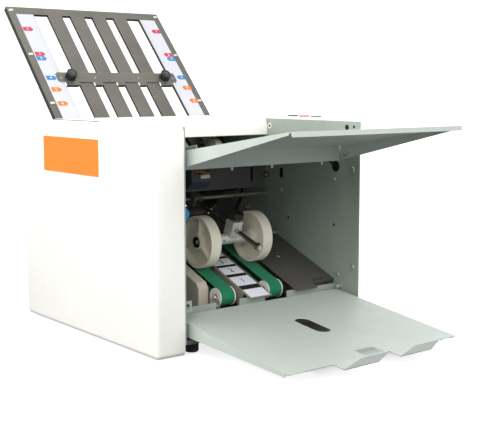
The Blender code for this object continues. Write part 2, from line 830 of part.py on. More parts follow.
def power_switch(machine):
    """Rocker of the power switch on its pivot."""
    body = empty("power_switch_pivot", rocker_centre(), machine)
    tilt = math.radians(10.0)
    face = math.radians(35.0)
    steps = 12
    sweep = 2 * (math.pi - face)
    outline = [(ROCKER_RADIUS * math.cos(a), ROCKER_RADIUS * math.sin(a))
               for a in [face - tilt + sweep * step / steps for step in range(steps + 1)]]
    dish = ROCKER_RADIUS * 0.7
    outline.append((dish * math.cos(tilt), -dish * math.sin(tilt)))
    half = ROCKER_RADIUS / 2
    piece("power_switch", prism(outline, "X", -half, half), black_plastic(), body)


# Feed side
def feed_plate_height(y, z):
    """Distance of the paper plane above a point."""
    return (paper_z(y) - z) * math.cos(PAPER_SLOPE)


def feed_tray(machine):
    """Feed tray of bent sheet on two pivots."""
    body = empty("feed_tray_pivot", FEED_PIVOT, machine, -PAPER_SLOPE)
    top = feed_plate_height(FEED_PIVOT_Y, FEED_PIVOT_Z)
    front = (FEED_TRAY_FRONT - FEED_PIVOT_Y) / math.cos(PAPER_SLOPE) - top * math.tan(PAPER_SLOPE)
    rear = (PAPER_Y - FEED_PIVOT_Y) / math.cos(PAPER_SLOPE) - top * math.tan(PAPER_SLOPE)
    half = TRAY_HALF
    relief = 0.003
    deep = top - FEED_TRAY_FLANGE
    heel = deep - PIVOT_RADIUS / 2
    chamfer_y = PIVOT_RADIUS * 2
    chamfer_z = deep + PIVOT_RADIUS * 2.5
    apron_half = half - relief
    points = [(-half, front, top), (half, front, top), (half, rear - relief, top),
              (-half, rear - relief, top), (apron_half, rear, top), (-apron_half, rear, top)]
    faces = [(0, 1, 2, 4, 5, 3)]
    for x, first, last in ((-half, 0, 3), (half, 1, 2)):
        start = len(points)
        points += [(x, front + relief, top), (x, front + relief, top - FEED_TRAY_LIP),
                   (x, -chamfer_y, heel), (x, PIVOT_RADIUS, heel), (x, chamfer_y, chamfer_z)]
        side = (last, start, start + 1, start + 2, start + 3, start + 4)
        faces.append(side if x > 0 else side[::-1])
    left_mark = 6
    right_mark = 11
    faces[0] = (left_mark, 0, 1, right_mark, 2, 4, 5, 3)
    start = len(points)
    points += [(-half + relief, front, top), (half - relief, front, top),
               (half - relief, front, top - FEED_TRAY_LIP), (-half + relief, front, top - FEED_TRAY_LIP)]
    faces[0] = (left_mark, 0, start, start + 1, 1, right_mark, 2, 4, 5, 3)
    faces.append((start, start + 3, start + 2, start + 1))
    start = len(points)
    points += [(apron_half, rear, top - FEED_TRAY_APRON), (-apron_half, rear, top - FEED_TRAY_APRON)]
    faces.append((4, start, start + 1, 5))
    shape = sheet(points, faces, SHEET)
    ear_front = -0.012
    ear_rear = 0.008
    ear_top = 0.028
    ear = prism(((ear_front, top - RUN_GAP * 2), (ear_rear, top - RUN_GAP * 2), (ear_rear, top + ear_top),
                 (ear_front / 3, top + ear_top)), "X", -half, -half + SHEET)
    shape = fuse(shape, ear)
    hook_half = 0.002
    hook_drop = 0.005
    hooks = bmesh.new()
    low = top - FEED_TRAY_APRON
    hook_shares = (-0.376, 0.10, 0.741)
    for share in hook_shares:
        x = share * half
        box((x - hook_half, rear - SHEET * 0.9, low - hook_drop), (x + hook_half, rear - SHEET * 0.1,
                                                                    low + hook_drop), hooks)
    shape = fuse(shape, hooks)
    bores = pin(PIVOT_RADIUS + FIT_GAP, "X", -half - CUT_OVERRUN, half + CUT_OVERRUN)
    piece("feed_tray", cut(shape, bores), tray_paint(), body)


def feed_deck(machine):
    """Fixed deck that carries the paper from the tray to the rollers."""
    gap = 0.0085
    front = PAPER_Y + gap
    rear = NIP_Y - ROLLER_RADIUS
    drop = PLATE_SHEET
    lip = 0.012
    path = ((front, paper_z(front) - lip), (front, paper_z(front)), (rear, paper_z(rear)))
    shape = prism(bent(path, drop), "X", -SPAN, SPAN)
    window_half = FEED_WHEEL_WIDTH * 0.7
    window_reach = FEED_WHEEL_RADIUS * 0.8
    windows = bmesh.new()
    for x in (-FEED_WHEEL_PITCH, FEED_WHEEL_PITCH):
        box((x - window_half, FEED_WHEEL_Y - window_reach, paper_z(rear) - CUT_OVERRUN * 3),
            (x + window_half, FEED_WHEEL_Y + window_reach, paper_z(front)), windows)
    piece("feed_deck", cut(shape, windows), tray_paint(), machine)


def separator_block(machine):
    """Separator pad holder under the middle feed wheel."""
    half = 0.021
    front = -0.008
    rear = CROSS_PANEL_Y - FIT_GAP
    bottom = 0.226
    slant = 0.012
    top = paper_z(rear) - PLATE_SHEET * 2 - FIT_GAP
    outline = ((front, bottom + slant), (front + slant, bottom), (rear, bottom), (rear, top),
               (front + slant, top), (front, top - slant / 2))
    piece("separator_block", prism(outline, "X", -half, half),
          material("slate_plastic", (0.05, 0.06, 0.08), 0.5), machine)


def feed_guide(machine, name, side):
    """Paper side guide that slides across the feed deck."""
    base = 0.018
    thick = 0.0015
    middle = (GUIDE_FRONT + GUIDE_REAR) / 2
    origin = Vector((side * GUIDE_X, middle, paper_z(middle)))
    body = empty(name + "_slide", origin, machine, -PAPER_SLOPE)
    reach = (GUIDE_REAR - GUIDE_FRONT) / 2 / math.cos(PAPER_SLOPE)
    path = ((0.0, GUIDE_HEIGHT), (0.0, FIT_GAP), (base, FIT_GAP))
    outline = [(side * a, b) for a, b in bent(path, -thick)]
    piece(name, prism(outline, "Y", -reach, reach), bright_steel(), body)


def feed_shaft(machine):
    """Feed shaft with three cream feed wheels and its pulley."""
    body = empty("feed_shaft_axis", FEED_SHAFT, machine)
    half = FEED_WHEEL_WIDTH / 2
    shoulder = 0.002
    end = FEED_BELT_X + DRIVE_BELT_WIDTH
    start = -FRAME_OUTER - BEARING_WALL - RUN_GAP
    profile = [(start, 0), (start, SHAFT_RADIUS)]
    for x in (-FEED_WHEEL_PITCH, 0.0, FEED_WHEEL_PITCH):
        profile += [(x - half, SHAFT_RADIUS), (x - half, FEED_WHEEL_RADIUS - shoulder / 2),
                    (x - half + shoulder, FEED_WHEEL_RADIUS), (x + half - shoulder, FEED_WHEEL_RADIUS),
                    (x + half, FEED_WHEEL_RADIUS - shoulder / 2), (x + half, SHAFT_RADIUS)]
    profile += [(FEED_BELT_X - FIT_GAP, SHAFT_RADIUS), (FEED_BELT_X - FIT_GAP, FEED_PULLEY_RADIUS),
                (end + FIT_GAP, FEED_PULLEY_RADIUS), (end + FIT_GAP, 0)]
    piece("feed_shaft", turned(profile, "X", steps=16), cream_plastic(), body)


def belt_outline(wheels, extra, count=28):
    """Outline of a belt round wheels given as (centre, radius)."""
    points = []
    for index in range(count):
        angle = 2 * math.pi * index / count
        toward = Vector((math.cos(angle), math.sin(angle)))
        centre, radius = max(wheels, key=lambda wheel: wheel[0].dot(toward) + wheel[1])
        spot = centre + toward * (radius + extra)
        points.append((spot.x, spot.y))
    return points


def flat(point):
    """The y and z of a point in space."""
    return Vector((point.y, point.z))


def belt_loop(wheels, thickness, start, end, shape=None):
    """Closed belt loop that clears its wheels by the fit gap."""
    inner = belt_outline(wheels, FIT_GAP)
    outer = belt_outline(wheels, FIT_GAP + thickness)
    return ring(inner, outer, "X", start, end, shape)


def feed_belt(machine):
    """Belt from the upper fold roller to the feed shaft."""
    wheels = ((flat(FEED_SHAFT), FEED_PULLEY_RADIUS), (flat(UPPER_ROLLER), FEED_PULLEY_RADIUS))
    shape = belt_loop(wheels, FEED_BELT_WALL, FEED_BELT_X, FEED_BELT_X + DRIVE_BELT_WIDTH)
    piece("feed_belt", shape, rubber(), machine)


def drive_belt(machine):
    """Belt from the motor to the rollers and the conveyor."""
    wheels = ((flat(MOTOR_SHAFT), MOTOR_PULLEY_RADIUS), (flat(REAR_PULLEY), DRIVE_PULLEY_RADIUS),
              (flat(LOWER_ROLLER), DRIVE_PULLEY_RADIUS))
    shape = belt_loop(wheels, DRIVE_BELT_THICK, DRIVE_BELT_X - DRIVE_BELT_WIDTH / 2,
                      DRIVE_BELT_X + DRIVE_BELT_WIDTH / 2)
    piece("drive_belt", shape, rubber(), machine)


def gear_outline(phase):
    """Outline of a spur gear whose first tooth is centred at phase."""
    pitch = 2 * math.pi / GEAR_TEETH
    radius = ROLLER_REACH
    tip = radius + TOOTH_HEIGHT * 0.42
    root = radius - TOOTH_HEIGHT * 0.58
    back = FIT_GAP / radius
    points = []
    for tooth in range(GEAR_TEETH):
        middle = phase + tooth * pitch
        for where, at in ((-0.36, root), (-0.13, tip), (0.13, tip), (0.36, root)):
            inward = -back if where > 0 else back
            angle = middle + where * pitch + inward * (1 if at == tip else 0.5)
            points.append((at * math.cos(angle), at * math.sin(angle)))
    return points


def mesh_phase(angle, other):
    """Tooth phase of a gear that meshes with another across an angle."""
    return 2 * angle + math.pi + math.pi / GEAR_TEETH - other


def fold_roller(machine, name, centre, phase, left_reach, right_reach):
    """Fold roller with grooves, journals and its gear."""
    body = empty(name + "_axis", centre, machine)
    groove = 0.0012
    groove_half = 0.002
    profile = [(left_reach, 0), (left_reach, SHAFT_RADIUS), (-ROLLER_HALF, SHAFT_RADIUS),
               (-ROLLER_HALF, ROLLER_RADIUS)]
    for share in (-0.5, 0.5):
        x = share * ROLLER_HALF
        profile += [(x - groove_half, ROLLER_RADIUS), (x - groove_half, ROLLER_RADIUS - groove),
                    (x + groove_half, ROLLER_RADIUS - groove), (x + groove_half, ROLLER_RADIUS)]
    profile += [(ROLLER_HALF, ROLLER_RADIUS), (ROLLER_HALF, SHAFT_RADIUS), (right_reach, SHAFT_RADIUS),
                (right_reach, 0)]
    shape = turned(profile, "X", steps=12)
    gear = prism(gear_outline(phase), "X", GEAR_X, GEAR_X + GEAR_WIDTH)
    return body, fuse(shape, gear)


def fold_rollers(machine):
    """The four fold rollers; their gears mesh round the main roller."""
    phase = 0.0
    steel = material("roller_steel", (0.30, 0.30, 0.31), 0.35, 0.8)
    left = GEAR_X - SHAFT_RADIUS / 2
    right = FRAME_OUTER + BEARING_WALL + RUN_GAP
    collar = FEED_BELT_X + DRIVE_BELT_WIDTH + FIT_GAP
    body, shape = fold_roller(machine, "main_fold_roller", MAIN_ROLLER, phase, left, right)
    piece("main_fold_roller", shape, steel, body)
    body, shape = fold_roller(machine, "upper_fold_roller", UPPER_ROLLER,
                              mesh_phase(UPPER_ROLLER_ANGLE, phase), left, collar)
    pulley = pin(FEED_PULLEY_RADIUS, "X", FEED_BELT_X - FIT_GAP, collar, sides=18)
    piece("upper_fold_roller", fuse(shape, pulley), steel, body)
    body, shape = fold_roller(machine, "rear_fold_roller", REAR_ROLLER,
                              mesh_phase(REAR_ROLLER_ANGLE, phase), left, right)
    piece("rear_fold_roller", shape, steel, body)
    end = DRIVE_BELT_X - DRIVE_BELT_WIDTH / 2 - FIT_GAP
    body, shape = fold_roller(machine, "lower_fold_roller", LOWER_ROLLER,
                              mesh_phase(LOWER_ROLLER_ANGLE, phase), end - SHAFT_RADIUS / 2, right)
    pulley = pin(DRIVE_PULLEY_RADIUS, "X", end, end + DRIVE_BELT_WIDTH + FIT_GAP * 2, sides=24)
    piece("lower_fold_roller", fuse(shape, pulley), steel, body)


def drive_motor(machine):
    """Drive motor on the left frame with a ribbed can and a flange."""
    flange = 0.004
    step = 0.006
    rib = 0.0012
    start = -FRAME_INNER + FIT_GAP
    radius = MOTOR_RADIUS
    profile = [(start, 0), (start, radius), (start + flange, radius), (start + flange, radius - step)]
    can = start + flange + step
    ribs = 2
    pitch = (MOTOR_LENGTH - flange - step * 3) / ribs
    for index in range(ribs):
        x = can + index * pitch
        profile += [(x, radius - rib), (x + pitch / 2, radius - rib), (x + pitch / 2, radius - rib * 2),
                    (x + pitch, radius - rib * 2)]
    profile += [(start + MOTOR_LENGTH - step, radius - step), (start + MOTOR_LENGTH, radius - step * 2),
                (start + MOTOR_LENGTH, 0)]
    shape = turned(profile, "X", (MOTOR_Y, MOTOR_Z), 16)
    bore = pin(SHAFT_RADIUS + FIT_GAP * 2, "X", start - CUT_OVERRUN, start + flange * 3,
               (MOTOR_Y, MOTOR_Z), 12)
    shape = cut(shape, bore)
    foot_half = 0.016
    post = box((start + step * 2, MOTOR_Y - foot_half, FRAME_BOTTOM + PAN_THICK + FIT_GAP),
               (start + MOTOR_LENGTH - step * 2, MOTOR_Y + foot_half, MOTOR_Z - MOTOR_RADIUS / 2))
    piece("drive_motor", fuse(shape, post), dark_steel(), machine)


def motor_pulley(machine):
    """Motor shaft end with its pulley."""
    body = empty("motor_pulley_axis", MOTOR_SHAFT, machine)
    half = DRIVE_BELT_WIDTH / 2 + FIT_GAP
    flange = 0.0012
    rim = MOTOR_PULLEY_RADIUS + DRIVE_BELT_THICK
    inner = -FRAME_INNER + PIVOT_RADIUS * 3
    profile = [(DRIVE_BELT_X - half - flange, 0), (DRIVE_BELT_X - half - flange, rim),
               (DRIVE_BELT_X - half, rim), (DRIVE_BELT_X - half, MOTOR_PULLEY_RADIUS),
               (DRIVE_BELT_X + half, MOTOR_PULLEY_RADIUS), (DRIVE_BELT_X + half, rim),
               (DRIVE_BELT_X + half + flange, rim), (DRIVE_BELT_X + half + flange, SHAFT_RADIUS),
               (inner, SHAFT_RADIUS), (inner, 0)]
    piece("motor_pulley", turned(profile, "X", steps=16), bright_steel(), body)


# Conveyor
def deck_tilt(machine):
    """Empty on the belt plane, tilted with the conveyor."""
    return empty("conveyor_frame", DECK_ORIGIN, machine, DECK_SLOPE)


def exit_deck(machine, tilted):
    """Inclined deck with an open middle for the belts and the rail."""
    top = -DECK_DROP
    bottom = top - PLATE_SHEET
    wing = 0.077
    half = SPAN
    step_inset = 0.0527
    step_x = half - step_inset
    outline = ((wing, DECK_FRONT_AT), (step_x, DECK_FRONT_AT), (step_x, DECK_FRONT_RIGHT_AT),
               (half, DECK_FRONT_RIGHT_AT), (half, DECK_REAR_AT), (-half, DECK_REAR_AT),
               (-half, DECK_LEFT_AT), (-BLOCK_OUTER - FIT_GAP, DECK_LEFT_AT),
               (-BLOCK_OUTER - FIT_GAP, DECK_BRIDGE_AT), (wing, DECK_BRIDGE_AT))
    shape = prism(outline, "Z", bottom, top)
    drop = 0.010
    inset = 0.002
    flange = box((step_x + inset, DECK_FRONT_RIGHT_AT, bottom - drop),
                 (half - FIT_GAP, DECK_FRONT_RIGHT_AT + PLATE_SHEET, bottom + PLATE_SHEET / 2))
    shape = fuse(shape, flange)
    hole_inset = 0.0197
    hole_x = half - hole_inset
    hole_radius = 0.0028
    holes = pin(hole_radius, "Y", DECK_FRONT_RIGHT_AT - CUT_OVERRUN, DECK_FRONT_RIGHT_AT + CUT_OVERRUN,
                (hole_x, bottom - drop / 2), 12)
    piece("exit_deck", cut(shape, holes), dark_steel(), tilted)


def conveyor_side_block(machine):
    """Beige moulded block beside the left belt."""
    bottom = FRAME_BOTTOM + PAN_THICK + FIT_GAP
    rear = -0.020
    knee = -0.111
    front = -0.1175
    front_top = 0.078
    sink = 0.0018
    outline = ((rear, bottom), (front, bottom), (front, front_top), (knee, deck_height(knee) - sink),
               (rear, deck_height(rear) - sink))
    piece("conveyor_side_block", prism(outline, "X", -BLOCK_OUTER, -BLOCK_INNER), cream_plastic(), machine)


def deck_height(y):
    """Height of the belt plane at y."""
    return DECK_Z + (y - DECK_Y) * math.tan(DECK_SLOPE)


def conveyor_belt(machine, name, x):
    """Green belt round the front and rear pulleys."""
    wheels = ((flat(FRONT_PULLEY), PULLEY_RADIUS), (flat(REAR_PULLEY), PULLEY_RADIUS))
    shape = belt_loop(wheels, BELT_THICK, x - BELT_WIDTH / 2, x + BELT_WIDTH / 2)
    piece(name, shape, belt_green(), machine)


def pulley_profile(x, flange_radius):
    """Profile stretch of one flanged belt pulley centred at x."""
    half = BELT_WIDTH / 2 + FIT_GAP
    flange = 0.0013
    return [(x - half - flange, SHAFT_RADIUS * 0.8), (x - half - flange, flange_radius),
            (x - half, flange_radius), (x - half, PULLEY_RADIUS), (x + half, PULLEY_RADIUS),
            (x + half, flange_radius), (x + half + flange, flange_radius),
            (x + half + flange, SHAFT_RADIUS * 0.8)]


def conveyor_shafts(machine):
    """Front and rear conveyor shafts with their white pulleys."""
    white = material("white_plastic", (0.80, 0.78, 0.74), 0.40)
    thin = SHAFT_RADIUS * 0.8
    rim = BELT_OUTER + RUN_GAP * 0.6
    end = BELT_X + BELT_WIDTH / 2 + RUN_GAP * 1.1
    middle = pulley_profile(-BELT_X, rim) + pulley_profile(BELT_X, rim)
    front = [(-end, 0)] + middle + [(end, 0)]
    body = empty("front_conveyor_axis", FRONT_PULLEY, machine)
    piece("front_conveyor_shaft", turned(front, "X", steps=16), white, body)
    face = DRIVE_BELT_X - DRIVE_BELT_WIDTH / 2 - FIT_GAP
    back = DRIVE_BELT_X + DRIVE_BELT_WIDTH / 2 + FIT_GAP
    rear = [(face, 0), (face, DRIVE_PULLEY_RADIUS), (back, DRIVE_PULLEY_RADIUS), (back, SHAFT_RADIUS),
            (-FRAME_INNER + BEARING_WALL, SHAFT_RADIUS), (-FRAME_INNER + BEARING_WALL, thin)]
    rear += middle + [(end, 0)]
    body = empty("rear_conveyor_axis", REAR_PULLEY, machine)
    piece("rear_conveyor_shaft", turned(rear, "X", steps=16), white, body)


def scale_rail(tilted):
    """Centre rail between the belts; it carries the conveyor shafts."""
    top = -DECK_DROP
    sheet_thick = PLATE_SHEET
    start = DECK_FRONT_AT
    wall_start = -0.169
    end = DECK_BRIDGE_AT - FIT_GAP
    deep = 0.028
    shallow = 0.012
    half = RAIL_HALF
    shape = box((-half, start, top - sheet_thick), (half, end, top))
    for x in (-half, half - sheet_thick):
        side = ((wall_start, top - sheet_thick / 2), (wall_start, -deep), (FRONT_PULLEY_AT + deep, -deep),
                (FRONT_PULLEY_AT + deep * 2, -shallow), (REAR_PULLEY_AT - deep * 2, -shallow),
                (REAR_PULLEY_AT - deep, -deep), (end, -deep), (end, top - sheet_thick / 2))
        shape = fuse(shape, prism(side, "X", x, x + sheet_thick))
    holes = bmesh.new()
    bore = SHAFT_RADIUS * 0.8 + FIT_GAP
    for y in (FRONT_PULLEY_AT, REAR_PULLEY_AT):
        pin(bore, "X", -half - CUT_OVERRUN, half + CUT_OVERRUN, (y, -BELT_OUTER), 16, holes)
    piece("scale_rail", cut(shape, holes), dark_steel(), tilted)


def front_cross_member(machine):
    """Front cross member with two finger notches."""
    thick = PLATE_SHEET
    drop = DECK_DROP + PLATE_SHEET + RUN_GAP
    top = deck_height(CROSS_FRONT) - drop / math.cos(DECK_SLOPE)
    bottom = FRAME_BOTTOM + PAN_THICK + FIT_GAP
    foot = 0.010
    path = ((CROSS_FRONT + foot, bottom), (CROSS_FRONT, bottom), (CROSS_FRONT, top))
    shape = prism(bent(path, thick), "X", -SPAN, SPAN)
    notch_half = 0.0235
    notch_shift = 0.0117
    notch_deep = 0.013
    notches = bmesh.new()
    for x in (-BELT_X, BELT_X):
        centre = x - notch_shift
        box((centre - notch_half, CROSS_FRONT - CUT_OVERRUN, top - notch_deep),
            (centre + notch_half, CROSS_FRONT + CUT_OVERRUN, top + CUT_OVERRUN), notches)
    shape = cut(shape, notches)
    stop_front = -0.1995
    stop_bottom = 0.0655
    stop_top = 0.083
    stop_reach = 0.0197
    stop_end = -SPAN + stop_reach
    neck_low = 0.050
    neck_high = 0.0615
    knee = -0.178
    rear = CROSS_FRONT + thick / 2
    side = ((rear, neck_low), (rear, neck_high), (knee, neck_high), (stop_front + thick, stop_top),
            (stop_front, stop_top), (stop_front, stop_bottom), (knee, neck_low))
    shape = fuse(shape, prism(side, "X", -SPAN, -SPAN + thick))
    shape = fuse(shape, box((-SPAN + thick / 2, stop_front, stop_bottom), (stop_end, stop_front + thick,
                                                                           stop_top)))
    eye = 0.0045
    eye_margin = 0.0117
    eye_x = -SPAN + eye_margin
    hole = pin(eye, "Y", stop_front - CUT_OVERRUN, stop_front + CUT_OVERRUN,
               (eye_x, (stop_bottom + stop_top) / 2), 12)
    piece("front_cross_member", cut(shape, hole), tray_paint(), machine)


# Stacker pieces
def cross_rod(machine):
    """Round rod across the bay that carries the stacker arm."""
    shape = pin(CROSS_ROD_RADIUS, "X", -SPAN, SPAN, (CROSS_ROD_Y, CROSS_ROD_Z), 16)
    piece("cross_rod", shape, bright_steel(), machine)


def cross_panel(machine):
    """Dark cross panel over the bay with a wire window and slots."""
    thick = PLATE_SHEET
    bottom = 0.2175
    lip = 0.007
    clear = 0.0025
    top = paper_z(CROSS_PANEL_Y) - clear - PLATE_SHEET
    path = ((CROSS_PANEL_Y + lip, bottom), (CROSS_PANEL_Y, bottom), (CROSS_PANEL_Y, top))
    shape = prism(bent(path, thick), "X", -SPAN, SPAN)
    low = CROSS_PANEL_Y - CUT_OVERRUN
    high = CROSS_PANEL_Y + CUT_OVERRUN
    window = ((0.024, 0.243), (0.052, 0.262))
    slot_half = 0.003
    slot_bottom = 0.228
    slot_top = 0.262
    corner = 0.0028
    holes = prism(rounded(window[0], window[1], corner), "Y", low, high)
    left_inset = 0.068
    right_inset = 0.033
    for x in (-FRAME_INNER + left_inset, FRAME_INNER - right_inset):
        outline = rounded((x - slot_half, slot_bottom), (x + slot_half, slot_top), corner)
        prism(outline, "Y", low, high, holes)
    piece("cross_panel", cut(shape, holes), dark_steel(), machine)


def stacker_arm(machine):
    """Rod clamp and guide rod that swing about the cross rod."""
    body = empty("stacker_arm_pivot", CROSS_ROD, machine, ARM_SLOPE)
    half = 0.009
    front = 0.014
    rear = 0.008
    tall = 0.010
    corner = 0.002
    shape = prism(rounded((-front, -tall), (rear, tall), corner), "X", ARM_X - half, ARM_X + half)
    bores = pin(CROSS_ROD_RADIUS + FIT_GAP, "X", ARM_X - half - CUT_OVERRUN, ARM_X + half + CUT_OVERRUN)
    shape = cut(shape, bores)
    socket = pin(GUIDE_ROD_RADIUS + FIT_GAP, "Y", -front - CUT_OVERRUN, -front + tall / 2, (ARM_X, 0.0))
    shape = cut(shape, socket)
    piece("arm_clamp", shape, dark_steel(), body)
    seat = -front + tall / 2 - FIT_GAP
    collar = GUIDE_ROD_RADIUS * 1.6
    collar_length = 0.009
    socket_radius = GUIDE_ROD_RADIUS * 0.55
    socket_deep = 0.002
    profile = [(-GUIDE_ROD_END, 0), (-GUIDE_ROD_END, collar - RUN_GAP / 2),
               (-GUIDE_ROD_END + RUN_GAP / 2, collar), (-GUIDE_ROD_END + collar_length, collar),
               (-GUIDE_ROD_END + collar_length, GUIDE_ROD_RADIUS), (seat, GUIDE_ROD_RADIUS), (seat, 0)]
    rod = turned(profile, "Y", (ARM_X, 0.0), 16)
    rod = cut(rod, pin(socket_radius, "Y", -GUIDE_ROD_END - CUT_OVERRUN, -GUIDE_ROD_END + socket_deep,
                       (ARM_X, 0.0), 6))
    piece("guide_rod", rod, bright_steel(), body)
    return body


def axle_in_arm():
    """Wheel axle place in the arm's own frame."""
    offset = WHEEL_AXLE - CROSS_ROD
    turn = Matrix.Rotation(-ARM_SLOPE, 4, "X")
    return turn @ offset


def carriage(arm):
    """Cast carriage: clamp block on the rod and the axle tube under it."""
    at = axle_in_arm()
    slide = empty("carriage_slide", (0.0, at.y, 0.0), arm)
    half = 0.010
    reach = 0.010
    top = 0.0145
    neck = 0.004
    corner = 0.002
    tube = 0.009
    tube_half = WHEEL_X - WHEEL_WIDTH / 2 - RUN_GAP / 2
    axle = SHAFT_RADIUS * 0.8
    cap = 0.0068
    cap_thick = 0.0025
    recess = 0.007
    block = prism(rounded((-reach, at.z + tube / 2), (reach, top), corner), "X", ARM_X - half, ARM_X + half)
    outer = WHEEL_X + WHEEL_WIDTH / 2 - recess + FIT_GAP
    profile = [(-outer - cap_thick, 0), (-outer - cap_thick, cap), (-outer, cap), (-outer, axle),
               (-tube_half, axle), (-tube_half, tube), (tube_half, tube), (tube_half, axle), (outer, axle),
               (outer, cap), (outer + cap_thick, cap), (outer + cap_thick, 0)]
    axle_tube = turned(profile, "X", (0.0, at.z), 12)
    shape = fuse(axle_tube, block)
    bores = pin(GUIDE_ROD_RADIUS + FIT_GAP, "Y", -reach - CUT_OVERRUN, reach + CUT_OVERRUN, (ARM_X, 0.0))
    shape = cut(shape, bores)
    grub = 0.0022
    grub_x = -0.012
    shape = cut(shape, pin(grub, "Y", -tube - CUT_OVERRUN, -tube / 2, (grub_x, at.z), 12))
    screw_radius = 0.003
    tapped = pin(screw_radius + FIT_GAP, "Z", GUIDE_ROD_RADIUS, top + CUT_OVERRUN, (ARM_X, 0.0), 12)
    shape = cut(shape, tapped)
    piece("wheel_carriage", shape, material("cast_alloy", (0.50, 0.50, 0.48), 0.35, 0.9), slide)
    carriage_knob(slide, top + neck, screw_radius)
    for name, side in (("left_stacker_wheel", -1), ("right_stacker_wheel", 1)):
        hub = empty(name + "_axis", (side * WHEEL_X, 0.0, at.z), slide)
        stacker_wheel(name, hub, side)


def lobed(radius, lobes, depth, sides):
    """Outline of a hand knob with shallow grip lobes."""
    points = []
    for index in range(sides):
        angle = 2 * math.pi * index / sides
        reach = radius - depth * (0.5 - 0.5 * math.cos(lobes * angle))
        points.append((reach * math.cos(angle), reach * math.sin(angle)))
    return points


def hand_knob(radius, height, screw_radius, screw_end, lobes=8):
    """Lobed thumb knob on its screw; its underside is at height zero."""
    sides = lobes * 3
    shape = prism(lobed(radius, lobes, radius * 0.12, sides), "Z", 0.0, height)
    rim = [edge for edge in shape.edges if all(v.co.z > height - FIT_GAP for v in edge.verts)]
    bmesh.ops.bevel(shape, geom=rim, offset=radius * 0.1, segments=1, affect="EDGES")
    hollow = pin(radius * 0.45, "Z", height * 0.75, height + CUT_OVERRUN, sides=12)
    shape = cut(shape, hollow)
    return fuse(shape, pin(screw_radius, "Z", screw_end, height / 2, sides=12))


def carriage_knob(slide, top, screw_radius):
    """Black thumb knob that clamps the carriage on the rod."""
    body = empty("carriage_knob_axis", (ARM_X, 0.0, top + FIT_GAP), slide)
    screw_end = GUIDE_ROD_RADIUS - top
    knob = hand_knob(CARRIAGE_KNOB_RADIUS, CARRIAGE_KNOB_HEIGHT, screw_radius, screw_end)
    piece("carriage_knob", knob, black_plastic(), body)


def stacker_wheel(name, hub, side):
    """Cream stacker wheel: rim, recessed web with three ribs, hub."""
    half = WHEEL_WIDTH / 2
    rim = 0.0042
    web_half = 0.0013
    hub_radius = 0.0125
    recess = 0.007
    bore = SHAFT_RADIUS * 0.8 + FIT_GAP
    pocket = 0.0095
    edge = 0.001
    radius = WHEEL_RADIUS
    inner = radius - rim
    outward = side
    faces = [(half, inner), (half, radius), (-half, radius), (-half, inner),
             (-web_half, inner - edge), (-web_half, hub_radius),
             (-half, hub_radius), (-half, bore), (half - recess, bore), (half - recess, pocket),
             (half, pocket), (half, hub_radius), (web_half, hub_radius), (web_half, inner - edge)]
    profile = [(outward * along, reach) for along, reach in faces]
    shape = bored(profile, "X", steps=30)
    rib_half = 0.0013
    ribs = bmesh.new()
    rise = half - RUN_GAP
    sink = web_half / 2
    for index in range(3):
        angle = math.radians(80.0) + 2 * math.pi * index / 3
        start = hub_radius - edge / 2
        end = inner + edge / 2
        across = Vector((-math.sin(angle), math.cos(angle))) * rib_half
        along = Vector((math.cos(angle), math.sin(angle)))
        corners = [along * start + across, along * end + across, along * end - across,
                   along * start - across]
        outline = [(corner.x, corner.y) for corner in corners]
        prism(outline, "X", outward * sink, outward * rise, ribs)
    piece(name, fuse(shape, ribs), cream_plastic(), hub)


def blue_knob(machine):
    """Blue adjusting knob at the left of the bay."""
    body = empty("blue_knob_axis", (BLUE_KNOB_X, BLUE_KNOB_Y, BLUE_KNOB_Z), machine)
    radius = 0.0095
    half = 0.005
    reach = 0.018
    shape = prism(lobed(radius, 12, radius * 0.06, 36), "Y", -half, half)
    shape = fuse(shape, pin(BLUE_KNOB_STEM, "Y", 0.0, reach, sides=12))
    piece("blue_knob", shape, material("knob_blue", (0.01, 0.22, 0.46), 0.35), body)


def knob_bracket(machine):
    """Bent bracket on the left frame that holds the blue knob's stem."""
    thick = PLATE_SHEET
    depth = 0.020
    margin = 0.009
    front = BLUE_KNOB_Y + BLUE_KNOB_REACH
    rear = front + depth
    arm_end = BLUE_KNOB_X + margin
    half = 0.008
    wall = -SPAN
    path = ((wall + thick, rear), (wall + thick, front), (arm_end, front))
    holder = prism(bent(path, thick), "Z", BLUE_KNOB_Z - half, BLUE_KNOB_Z + half)
    hole = pin(BLUE_KNOB_STEM + FIT_GAP, "Y", front - CUT_OVERRUN, front + CUT_OVERRUN,
               (BLUE_KNOB_X, BLUE_KNOB_Z), 16)
    piece("blue_knob_bracket", cut(holder, hole), bright_steel(), machine)


def plate_stud_places():
    """Studs that carry the two fold plates, two each."""
    spots = []
    low = 0.055
    high = 0.120
    for reach in (low, high):
        spots.append(UPPER_ORIGIN + direction(UPPER_SLOPE) * reach
                     - direction(UPPER_SLOPE + math.pi / 2) * PLATE_DEPTH / 2)
    for reach in (low + RUN_GAP * 2, high):
        spots.append(MAIN_ROLLER + direction(LOWER_SLOPE) * reach)
    return spots


# Fold plates
def bar_centres():
    """Places of the four bars across the fold plate."""
    return [(index - 1.5) * BAR_PITCH for index in range(4)]


def plate_slots(bottom, top, start, end):
    """Cutter for the five slots between the bars."""
    edges = [-STRIP_EDGE]
    for x in bar_centres():
        edges += [x - BAR_WIDTH / 2, x + BAR_WIDTH / 2]
    edges.append(STRIP_EDGE)
    slots = bmesh.new()
    for left, right in zip(edges[::2], edges[1::2]):
        box((left, start, bottom - CUT_OVERRUN), (right, end, top + CUT_OVERRUN), slots)
    return slots


def slot_centres():
    """Middles of the five slots."""
    outer = (STRIP_EDGE + BAR_PITCH * 1.5 + BAR_WIDTH / 2) / 2
    return [-outer, -BAR_PITCH, 0.0, BAR_PITCH, outer]


